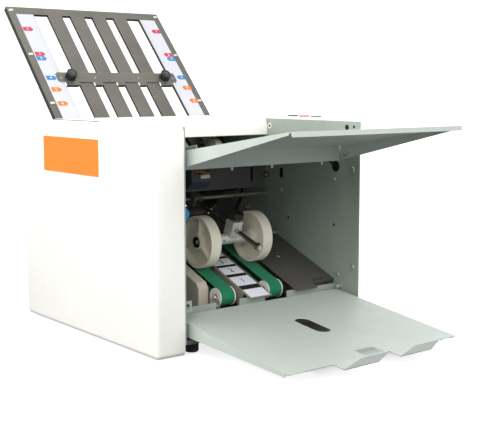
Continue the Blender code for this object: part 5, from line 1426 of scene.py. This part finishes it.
@dataclass
class FoldPlates:
    """Upper and lower fold plates with scale cards, arrow tags, clips, stops and knobs.

    Places on the upper plate are given across it and up its slope.
    """

    card_in: float = 0.1200
    card_out: float = 0.1555
    card_low: float = 0.050
    card_high: float = 0.3935
    card_thick: float = 0.0003
    card_corner: float = 0.0008
    tick_in: float = 0.0015
    tick_first: float = 0.006
    tick_pitch: float = 0.005
    tick_count: int = 66
    tick_group: int = 4
    tick_lengths: Point = (0.0065, 0.0035)
    tick_width: float = 0.0005
    tick_corner: float = 0.0001
    tick_steps: int = 1
    tick_thick: float = 0.00008
    tag_length: float = 0.0205
    tag_height: float = 0.0102
    tag_nose: float = 0.0040
    tag_tip: Point = (0.0012, 0.0014)
    tag_inset: float = 0.0024
    tag_thick: float = 0.0004
    tag_ease: float = 0.0001
    digit_height: float = 0.0082
    digit_depth: float = 0.00012
    digit_shift: float = 0.0012
    tags: Sequence[tuple[Tag, float, float, int]] = (
        (Tag.RED, -0.1467, 0.3544, 1), (Tag.RED, -0.1454, 0.2899, 2), (Tag.BLUE, -0.1462, 0.2787, 3),
        (Tag.BLUE, -0.1446, 0.2298, 4), (Tag.ORANGE, -0.1446, 0.2015, 5), (Tag.ORANGE, -0.1447, 0.1674, 6),
        (Tag.RED, 0.1472, 0.3612, 1), (Tag.RED, 0.1471, 0.2954, 2), (Tag.BLUE, 0.1490, 0.2838, 3),
        (Tag.BLUE, 0.1496, 0.2332, 4), (Tag.ORANGE, 0.1500, 0.2053, 5), (Tag.ORANGE, 0.1500, 0.1711, 6))
    lower_slope: float = -42.0
    insert: Profile = ((-0.0004, 0.0046), (0.0003, 0.0046), (0.0006, 0.0043), (0.0006, 0.0024),
                       (0.0001, 0.0021))
    rivet: Profile = ((-0.0001, 0.0019), (0.0004, 0.0018), (0.0007, 0.0012))
    rivet_x: Sequence[float] = (-0.1230, -0.0520, 0.0440, 0.1240)
    rivet_along: float = 0.2290
    bar_top: float = 0.0018
    clip: StudClip = StudClip(0.0090, 0.0052, 0.0012, 0.0012, 0.0004, (
        (0.0010, 0.0021), (0.0022, 0.0021), (0.0027, 0.0014)), 0.0012, corner_steps=3)
    clips: Sequence[Point] = (
        (-0.1625, 0.4030), (-0.1625, 0.2885), (-0.1625, 0.1685), (0.1625, 0.4030), (0.1625, 0.2942),
        (0.1625, 0.1709))

    def build(self) -> None:
        """Paints the plates and adds what is stuck or clipped on them."""
        dressed(PLATE_STEEL, Edge.PRESSED, "upper_fold_grid", "upper_fold_back", "lower_fold_plate")
        dressed(PLATE_STEEL, Edge.SHEARED, "upper_fold_stop", "lower_fold_stop")
        dressed(BLACK_PLASTIC, Edge.MOULDED, "left_stop_knob", "right_stop_knob", "lower_stop_knob")
        for node, slope in (("left_stop_knob", UPPER_PLATE.slope), ("right_stop_knob", UPPER_PLATE.slope),
                            ("lower_stop_knob", self.lower_slope)):
            self.knob_insert(node, slope)
        for index, x in enumerate(self.rivet_x):
            place = UPPER_PLATE.matrix(x, self.rivet_along, self.bar_top)
            rivet = Shape().turned(self.rivet, place, Sides.SMALL)
            fitted(f"fold_stop_rivet_{index + 1}", rivet, GUIDE_STEEL, body="upper_stop_body")
        self.card("left", -1)
        self.card("right", 1)
        for index, tag in enumerate(self.tags):
            self.tag(index, *tag)
        for index, spot in enumerate(self.clips):
            fitted(f"plate_clip_{index + 1}", self.clip.shape(), SCREW_STEEL, UPPER_PLATE.matrix(*spot))

    def knob_insert(self, node: str, slope: float) -> None:
        """Adds the steel insert in the face of a stop knob.

        Args:
            node: the knob's name.
            slope: slope of the plate that it clamps on.
        """
        low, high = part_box(node)
        turn = spin(slope)
        back = turn.inverted()
        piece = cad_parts[node]
        face = max((back @ (piece.matrix_world @ v.co)).z for v in piece.data.vertices)
        middle = back @ ((low + high) / 2)
        insert = Shape().turned(self.insert, turn @ at(middle.x, middle.y, face))
        fitted(f"{node}_insert", insert, BRACKET_STEEL, body=f"{node}_body")

    def card(self, name: str, side: int) -> None:
        """Adds a pale scale card with its ticks.

        Args:
            name: left or right.
            side: -1 or 1 across the machine.
        """
        middle = side * (self.card_in + self.card_out) / 2
        place = UPPER_PLATE.matrix(middle, (self.card_low + self.card_high) / 2)
        outline = rounded(self.card_out - self.card_in, self.card_high - self.card_low, self.card_corner,
                          FEW_STEPS)
        fitted(f"{name}_scale_card", Shape().slab(outline, 0.0, self.card_thick), SCALE_CARD, place)
        ticks = Shape()
        for step in range(self.tick_count):
            along = self.card_low + self.tick_first + step * self.tick_pitch
            length = self.tick_lengths[1 if step % self.tick_group else 0]
            across = side * (self.card_in + self.tick_in + length / 2)
            spot = UPPER_PLATE.matrix(across, along, self.card_thick)
            outline = rounded(length, self.tick_width, self.tick_corner, self.tick_steps)
            ticks.slab(outline, 0.0, self.tick_thick, spot)
        fitted(f"{name}_scale_ticks", ticks, SCALE_INK)

    def tag(self, index: int, kind: Tag, x: float, along: float, digit: int) -> None:
        """Adds one arrow tag with its number.

        Args:
            index: place in the list.
            kind: the tag's colour.
            x: place across the plate.
            along: place up the plate.
            digit: number printed on it.
        """
        side = 1 if x > 0 else -1
        half, tall = self.tag_length / 2, self.tag_height / 2
        neck, tip, blunt = half - self.tag_nose, half - self.tag_tip[0], self.tag_tip[1]
        outline = [(-half, -tall), (neck, -tall), (tip, -blunt), (half, 0.0), (tip, blunt), (neck, tall),
                   (-half, tall)]
        if side > 0:
            outline = [(-px, py) for px, py in outline][::-1]
        middle = x - side * self.tag_inset
        name = f"{kind.name.lower()}_tag_{index + 1}"
        fitted(name, Shape().slab(outline, 0.0, self.tag_thick, ease=self.tag_ease), kind.finish(),
               UPPER_PLATE.matrix(middle, along, self.card_thick))
        upon = UPPER_PLATE.matrix(middle + side * self.digit_shift, along, self.card_thick + self.tag_thick)
        fitted(f"{name}_number", numeral(str(digit), self.digit_height, self.digit_depth), WHITE_INK, upon)


@dataclass
class Stacker:
    """Two wheels on a sliding carriage, held by the rod of a lifting arm."""

    axle: Point = (-0.048255, 0.147988)
    neck_drop: float = 0.0125
    neck: Profile = ((-0.0030, 0.0066), (0.0006, 0.0066), (0.0012, 0.0060), (0.0040, 0.0052))
    neck_ease: float = 0.0003
    tip_depth: float = 0.001
    cap: Profile = ((-0.0002, 0.0040), (0.0005, 0.0040), (0.0008, 0.0036), (0.0008, 0.0019),
                    (0.0002, 0.0015))
    bearing: Profile = ((-0.0064, 0.0093), (0.0, 0.0093), (0.0005, 0.0090), (0.0005, 0.0084),
                        (-0.0050, 0.0078), (-0.0064, 0.0074))
    seal: Profile = ((-0.0024, 0.0070), (0.0002, 0.0070), (0.0004, 0.0067), (0.0004, 0.0046), (0.0, 0.0044))
    stub: Profile = ((0.0, 0.0041), (0.0026, 0.0041), (0.0031, 0.0036), (0.0031, 0.0016), (0.0026, 0.0012))

    def build(self) -> None:
        """Paints the stacker and adds its nut, rod end, bearings and axle ends."""
        dressed(WHEEL_PLASTIC, Edge.PRESSED, "left_stacker_wheel", "right_stacker_wheel")
        dressed(ALLOY, Edge.PRESSED, "wheel_carriage")
        dressed(BLACK_PLASTIC, Edge.TRIMMED, "carriage_knob")
        dressed(GUIDE_ROD_STEEL, Edge.SHEARED, "guide_rod")
        dressed(PANEL_PAINT, Edge.PRESSED, "arm_clamp")
        self.wheel_end("left", -1)
        self.wheel_end("right", 1)
        self.neck_nut()
        self.rod_end()

    def neck_nut(self) -> None:
        """Adds the six sided nut under the carriage knob."""
        low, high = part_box("carriage_knob")
        turn = spin(ARM_SLOPE)
        root = (low + high) / 2 + turn @ Vector((0.0, 0.0, -self.neck_drop))
        nut = Shape().turned(self.neck, at(*root) @ turn, Sides.NUT)
        fitted("carriage_neck_nut", nut, SCREW_STEEL, body="carriage_body", soften=self.neck_ease)

    def rod_end(self) -> None:
        """Adds the bored cap on the guide rod's front end."""
        turn = spin(ARM_SLOPE)
        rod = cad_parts["guide_rod"]
        spots = [turn.inverted() @ (rod.matrix_world @ v.co) for v in rod.data.vertices]
        front = min(p.y for p in spots)
        tip = [p for p in spots if p.y < front + self.tip_depth]
        centre = sum(tip, Vector()) / len(tip)
        place = turn @ at(centre.x, front, centre.z) @ spin(90.0)
        fitted("guide_rod_end", Shape().turned(self.cap, place), SCREW_STEEL, body="stacker_arm_body")

    def wheel_end(self, name: str, side: int) -> None:
        """Adds a wheel's bearing, and the seal and the bright end of its axle.

        Args:
            name: left or right.
            side: -1 or 1 across the machine.
        """
        turn = spin(180.0, "Z") if side < 0 else Matrix()
        wheel, axle = (at(box[side > 0].x, *self.axle) @ turn @ SIDEWAYS
                       for box in (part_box(f"{name}_stacker_wheel"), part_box("wheel_carriage")))
        bearing = Shape().turned(self.bearing, wheel, Sides.WHEEL, closed=False)
        fitted(f"{name}_wheel_bearing", bearing, BLACK_PLASTIC, body=f"{name}_wheel_body")
        seal = Shape().turned(self.seal, axle, Sides.WHEEL, closed=False)
        fitted(f"{name}_axle_seal", seal, BLACK_PLASTIC, body="carriage_body")
        fitted(f"{name}_axle_end", Shape().turned(self.stub, axle), SCREW_STEEL, body="carriage_body")


@dataclass
class Conveyor:
    """Exit deck with two belts on pulleys, the numbered centre rail and the side block.

    A cell of the rail's scale has its front and back end, as places along the machine from the
    middle of the covers, and its number.
    """

    cells: Sequence[tuple[float, float, str]] = (
        (-0.1700, -0.1480, ""), (-0.1365, -0.1105, "1"), (-0.1025, -0.0810, "2"), (-0.0745, -0.0550, "3"),
        (-0.0490, -0.0300, ""))
    cell_half: float = 0.0200
    cell_corner: float = 0.0006
    cell_thick: float = 0.0003
    lift: float = -0.0014
    middle: float = 0.031745
    tape_over: float = 0.0016
    tape_corner: float = 0.0004
    tape_thick: float = 0.00012
    digit_height: float = 0.017
    digit_depth: float = 0.0001
    core: Colour = (0.5, 0.5, 0.48)
    front_rim: Colour = linear("fbf0e8")
    rear_rim: Colour = linear("efe3d8")
    rear_axis: Point = (0.090359, 0.139229)
    plate_gap: float = 0.0016
    plate_half: float = 0.0006
    plate: Sequence[Point] = (
        (-0.0150, -0.0170), (0.0130, -0.0170), (0.0130, -0.0060), (0.0050, 0.0010), (0.0020, 0.0050),
        (-0.0030, 0.0050), (-0.0060, 0.0010), (-0.0150, -0.0040))
    plate_nut: Profile = ((0.0006, 0.0040), (0.0022, 0.0040), (0.0026, 0.0034))
    plate_screw: Profile = ((0.0006, 0.0022), (0.0016, 0.0022), (0.0019, 0.0016))
    plate_screw_at: Point = (0.0085, -0.0120)
    deck_screw: CrossHead = CrossHead(0.0030, 0.0014)
    deck_screw_at: Sequence[float] = (0.1213, -0.0388, 0.1030)
    deck_clip: StudClip = StudClip(0.0260, 0.0044, 0.0008, 0.0010, SKIN, (
        (0.0010, 0.0016), (0.0020, 0.0016), (0.0023, 0.0011)), 0.0080)
    deck_clip_at: Sequence[float] = (0.1440, -0.1178, 0.0712)

    def build(self) -> None:
        """Paints the conveyor and adds the number cells and the fixings."""
        dressed(DECK_PAINT, Edge.SHEARED, "exit_deck")
        dressed(RAIL_PAINT, Edge.SHEARED, "scale_rail")
        dressed(BLOCK_PLASTIC, Edge.SOFT, "conveyor_side_block")
        dressed(BELT, Edge.SHEARED, "left_conveyor_belt", "right_conveyor_belt")
        low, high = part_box("front_conveyor_shaft")
        axis = (low + high) / 2
        for end, rim, middle in (("front", self.front_rim, (axis.y, axis.z)),
                                 ("rear", self.rear_rim, self.rear_axis)):
            pulley = Banded(f"{end}_pulley_finish", self.core, rim, middle)
            dressed(pulley, Edge.SHEARED, f"{end}_conveyor_shaft")
        self.gap_tape()
        for index, cell in enumerate(self.cells):
            self.cell(index, *cell)
        self.bearing_plate(at(low.x - self.plate_gap, axis.y, axis.z) @ SIDEWAYS)
        turn = spin(CONVEYOR.slope)
        fitted("deck_screw", self.deck_screw.shape(), SCREW_STEEL, at(*self.deck_screw_at) @ turn)
        fitted("deck_corner_clip", self.deck_clip.shape(), BRACKET_STEEL, at(*self.deck_clip_at) @ turn)

    def bearing_plate(self, place: Matrix) -> None:
        """Adds the plate with its nut and screw beside the left pulley.

        Args:
            place: frame on the plate's middle, its third axis across the machine.
        """
        plate = Shape().slab(self.plate, -self.plate_half, self.plate_half, place)
        out = place @ spin(180.0, "Y")
        plate.turned(self.plate_nut, out, Sides.NUT)
        plate.turned(self.plate_screw, out @ at(*self.plate_screw_at, 0.0), Sides.SMALL)
        fitted("left_pulley_bearing_plate", plate, SCREW_STEEL, soften=SKIN)

    def gap_tape(self) -> None:
        """Adds the dark tape in the gaps between the cells."""
        gaps = Shape()
        for (_, start, _), (end, _, _) in zip(self.cells, self.cells[1:]):
            low, high = self.along(start), self.along(end)
            outline = rounded(self.cell_half * 2, high - low + self.tape_over, self.tape_corner, FEW_STEPS)
            gaps.slab(outline, 0.0, self.tape_thick, CONVEYOR.matrix(0.0, (low + high) / 2, self.lift))
        fitted("rail_gap_tape", gaps, FELT_AND_HOLE_SHADE)

    def cell(self, index: int, front: float, back: float, text: str) -> None:
        """Adds one cell of the rail's scale.

        Args:
            index: place in the list.
            front: its front end.
            back: its rear end.
            text: its number, or nothing.
        """
        start, end = self.along(front), self.along(back)
        middle = (start + end) / 2
        outline = rounded(self.cell_half * 2, end - start, self.cell_corner, FEW_STEPS)
        card = Shape().slab(outline, 0.0, self.cell_thick)
        fitted(f"rail_cell_{index + 1}", card, CELL_CARD, CONVEYOR.matrix(0.0, middle, self.lift))
        if text:
            upon = CONVEYOR.matrix(0.0, middle, self.lift + self.cell_thick)
            digits = numeral(text, self.digit_height, self.digit_depth)
            fitted(f"rail_number_{text}", digits, DARK_INK, upon)

    def along(self, y: float) -> float:
        """Distance up the conveyor of a place measured from the middle of the covers."""
        return (y + self.middle - CONVEYOR.y) / math.cos(math.radians(CONVEYOR.slope))


@dataclass
class Trays:
    """Feed tray with its deck and guides, and the exit tray."""

    hem_at: Point = (-0.4049, 0.3407)
    hem_lean: float = 81.4
    hem_size: Point = (0.3360, 0.0070)
    hem_corner: float = 0.0015
    hem_steps: int = 3
    hem_back: float = -0.0002
    hem_front: float = 0.0008
    hem_ease: float = 0.0003
    flange: float = 0.1688
    pivot: Point = (-0.1648, 0.2888)
    pivot_screw: CrossHead = CrossHead(0.0040, 0.0024)

    def build(self) -> None:
        """Paints the trays and guides, and adds the feed tray's hem and pivot screw."""
        dressed(TRAY_PAINT, Edge.PRESSED, "feed_tray")
        dressed(EXIT_PAINT, Edge.PRESSED, "exit_tray")
        dressed(FRAME_PAINT, Edge.SHEARED, "feed_deck")
        dressed(GUIDE_STEEL, Edge.SHEARED, "left_feed_guide", "right_feed_guide")
        outline = rounded(*self.hem_size, self.hem_corner, self.hem_steps)
        hem = Shape().slab(outline, self.hem_back, self.hem_front,
                           at(0.0, *self.hem_at) @ spin(self.hem_lean), ease=self.hem_ease)
        fitted("feed_tray_hem", hem, TRAY_PAINT, body="feed_tray_body")
        fitted("feed_tray_pivot_screw", self.pivot_screw.shape(), SCREW_STEEL,
               at(self.flange, *self.pivot) @ spin(-90.0, "Y"), body="feed_tray_body")


@dataclass
class Rollers:
    """Fold rollers, feed wheels, belts and motor inside the covers."""

    centres: Sequence[tuple[str, Point]] = (
        ("main_fold_roller", (0.134802, 0.249385)), ("upper_fold_roller", (0.124687, 0.277947)),
        ("rear_fold_roller", (0.164986, 0.252026)), ("lower_fold_roller", (0.140063, 0.219546)))
    core: Colour = (0.45, 0.45, 0.43)
    core_radius: float = 0.0075
    sleeve: Colour = linear("2b2b2d")
    sleeve_rough: float = 0.6
    feed_core: Colour = (0.5, 0.5, 0.48)
    # Feed wheel rims: the wheels' cream darkened to grey-brown as painted shade.
    feed_rim: Colour = linear("8d8674")
    feed_axis: Point = (0.089245, 0.289817)

    def build(self) -> None:
        """Paints the drive."""
        for node, axis in self.centres:
            roller = Banded(f"{node}_finish", self.core, self.sleeve, axis, self.core_radius,
                            self.sleeve_rough)
            dressed(roller, Edge.SHEARED, node)
        wheels = Banded("feed_wheel_finish", self.feed_core, self.feed_rim, self.feed_axis)
        dressed(wheels, Edge.SHEARED, "feed_shaft")
        dressed(BRIGHT_STEEL, Edge.SHEARED, "motor_pulley")
        dressed(PANEL_PAINT, Edge.PRESSED, "drive_motor")
        dressed(RUBBER, Edge.CUT, "drive_belt", "feed_belt")


@dataclass
class Electrics:
    """Circuit board, loom, visible wires, control panel, mains inlet and the blue knob."""

    board_step: float = 0.0098
    wires: Sequence[tuple[str, str, Sequence[Sequence[float]]]] = (
        ("orange_wire", "e08a2c", (
            (-0.0150, 0.0228, 0.2590), (-0.0060, 0.0205, 0.2560), (0.0050, 0.0200, 0.2535),
            (0.0150, 0.0215, 0.2540), (0.0240, 0.0330, 0.2530), (0.0292, 0.0620, 0.2525))),
        ("brown_wire", "8c4a1e", (
            (-0.0160, 0.0228, 0.2545), (-0.0070, 0.0200, 0.2530), (0.0040, 0.0205, 0.2560),
            (0.0150, 0.0220, 0.2565), (0.0245, 0.0350, 0.2545), (0.0305, 0.0620, 0.2535))),
        ("yellow_wire", "d9c14a", (
            (-0.0150, 0.0228, 0.2568), (-0.0050, 0.0195, 0.2575), (0.0060, 0.0190, 0.2548),
            (0.0160, 0.0210, 0.2522), (0.0250, 0.0340, 0.2515), (0.0310, 0.0620, 0.2515))))
    wire_radius: float = 0.0010
    wire_shade: float = 0.55
    plug_at: Sequence[float] = (0.0050, 0.0210, 0.2450)
    plug_size: Sequence[float] = (0.020, 0.0050, 0.0055)
    plug_corner: float = 0.0008
    plug_ease: float = 0.0005
    poles: int = 4
    pole_first: float = -0.006
    pole_pitch: float = 0.004
    pole_size: Sequence[float] = (0.0026, 0.0046, 0.0009)
    pole_corner: float = 0.0004

    def build(self) -> None:
        """Paints the electric pieces and adds the visible wires and their connector."""
        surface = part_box("circuit_board")[0].z + self.board_step
        dressed(BoardLacquer("green_board_lacquer", surface), Edge.SHARP, "circuit_board")
        dressed(LOOM_SLEEVE, Edge.SHARP, "wiring")
        dressed(CREAM_PAINT, Edge.TRIMMED, "control_panel")
        dressed(GREEN_PLASTIC, Edge.PRESSED, "start_button")
        dressed(RED_PLASTIC, Edge.PRESSED, "stop_button")
        dressed(GREY_BUTTON, Edge.PRESSED, "reset_button")
        dressed(BLACK_PLASTIC, Edge.PRESSED, "power_inlet", "power_switch")
        dressed(BLUE_PLASTIC, Edge.MOULDED, "blue_knob")
        dressed(BRACKET_STEEL, Edge.PRESSED, "blue_knob_bracket")
        for name, colour, points in self.wires:
            jacket = CableJacket(f"{name}_jacket", shaded(linear(colour), self.wire_shade))
            fitted(name, Shape().pipe(smooth_path(points), self.wire_radius), jacket)
        self.connector()

    def connector(self) -> None:
        """Adds the white connector in front of the separator block."""
        width, depth, height = self.plug_size
        outline = rounded(width, depth, self.plug_corner, FEW_STEPS)
        plug = Shape().slab(outline, 0.0, height, ease=self.plug_ease)
        outline = rounded(*self.pole_size[:2], self.pole_corner, FEW_STEPS)
        for pole in range(self.poles):
            spot = at(self.pole_first + self.pole_pitch * pole, 0.0, height)
            plug.slab(outline, 0.0, self.pole_size[2], spot, ease=SKIN)
        fitted("wire_connector", plug, WHITE_PLASTIC, at(*self.plug_at))


@dataclass
class Studio:
    """Seamless pale stage, soft lights and the camera at the photograph's angle.

    A light has its name, place, side, power in watts and colour.
    """

    eye: Sequence[float] = (-1.01235, -1.37376, 0.40096)
    yaw: float = 38.7
    tip: float = 7.1
    lens: float = 72.0
    film_width: float = 36.0
    sight: float = 50.0
    floor_radius: float = 3.4
    floor_shares: Sequence[float] = (0.02, 0.15, 0.4, 0.7, 1.0)
    floor_sides: int = 72
    rim_radius: float = 1.6
    rim_steps: int = 12
    wall: float = 1.5
    lights: Sequence[tuple[str, Sequence[float], float, float, Colour]] = (
        ("key_light", (-1.9, -1.7, 1.7), 1.7, 40.0, (1.0, 0.99, 0.97)),
        ("front_light", (0.9, -2.6, 1.9), 2.0, 18.0, (0.98, 0.99, 1.0)),
        ("rear_light", (0.9, 2.3, 2.0), 2.0, 22.0, WHITE),
        ("left_light", (-2.9, 0.7, 1.0), 1.6, 34.0, (1.0, 1.0, 0.99)),
        ("top_light", (0.0, 0.1, 2.9), 2.4, 19.5, WHITE))
    aim: Sequence[float] = (0.0, 0.05, 0.2)
    horizon: Point = (-0.55, 0.35)
    sky: Point = (0.16, 1.02)

    def build(self) -> None:
        """Makes the stage, the lights, the surroundings and the camera."""
        self.camera()
        self.floor()
        for light in self.lights:
            self.light(*light)
        self.surroundings()
        bpy.context.scene.view_settings.view_transform = "Standard"

    def surroundings(self) -> None:
        """Makes the white room: a soft dome, darker towards the ground."""
        world = bpy.data.worlds.new("white_room")
        world.use_nodes = True
        tree = world.node_tree
        dome = tree.nodes["Background"]
        dome.inputs["Color"].default_value = (*WHITE, 1.0)
        split = tree.nodes.new("ShaderNodeSeparateXYZ")
        level = tree.nodes.new("ShaderNodeMapRange")
        level.interpolation_type = "SMOOTHSTEP"
        tree.links.new(tree.nodes.new("ShaderNodeTexCoord").outputs["Generated"], split.inputs[0])
        tree.links.new(split.outputs["Z"], level.inputs["Value"])
        for name, number in zip(("From Min", "From Max", "To Min", "To Max"), (*self.horizon, *self.sky)):
            level.inputs[name].default_value = number
        tree.links.new(level.outputs["Result"], dome.inputs["Strength"])
        bpy.context.scene.world = world

    def camera(self) -> None:
        """Makes the camera."""
        data = bpy.data.cameras.new("studio_camera")
        data.lens = self.lens
        data.sensor_width = self.film_width
        data.clip_end = self.sight
        camera = bpy.data.objects.new("studio_camera", data)
        bpy.context.scene.collection.objects.link(camera)
        camera.location = self.eye
        camera.rotation_euler = (math.radians(90.0 - self.tip), 0.0, math.radians(-self.yaw))
        bpy.context.scene.camera = camera

    def floor(self) -> None:
        """Makes the round floor that sweeps up into a wall on all sides."""
        profile = [(0.0, self.floor_radius * share) for share in self.floor_shares]
        for step in range(1, self.rim_steps + 1):
            angle = math.radians(90.0 * step / self.rim_steps)
            profile.append((self.rim_radius * (1 - math.cos(angle)),
                            self.floor_radius + self.rim_radius * math.sin(angle)))
        profile.append((self.rim_radius + self.wall, self.floor_radius + self.rim_radius))
        shape = Shape().turned(profile, sides=self.floor_sides, closed=False)
        shape.mesh.faces.new(list(shape.mesh.verts)[:self.floor_sides])
        floor = shape.bake("studio_floor", StudioPaper("studio_paper"))
        floor.visible_diffuse = False
        floor.visible_glossy = False
        floor.visible_shadow = False

    def light(self, name: str, place: Sequence[float], size: float, power: float, colour: Colour) -> None:
        """Adds one soft light that looks at the machine.

        Args:
            name: the light's name.
            place: where it hangs.
            size: length of its sides.
            power: its power in watts.
            colour: its colour.
        """
        data = bpy.data.lights.new(name, "AREA")
        data.size = size
        data.energy = power
        data.color = colour
        lamp = bpy.data.objects.new(name, data)
        bpy.context.scene.collection.objects.link(lamp)
        lamp.location = place
        aim = Vector(self.aim) - Vector(place)
        lamp.rotation_euler = aim.to_track_quat("-Z", "Y").to_euler()


def main() -> None:
    """Dresses the whole machine."""
    logging.basicConfig(level=logging.INFO, format="%(message)s")
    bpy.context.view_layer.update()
    Studio().build()
    for assembly in (Enclosure(), SideFrames(), Trays(), FoldPlates(), Stacker(), Conveyor(), Rollers(),
                     Electrics()):
        assembly.build()
        LOG.info("%s is dressed", type(assembly).__name__)
    bpy.context.view_layer.update()


if __name__ == "__main__":
    main()
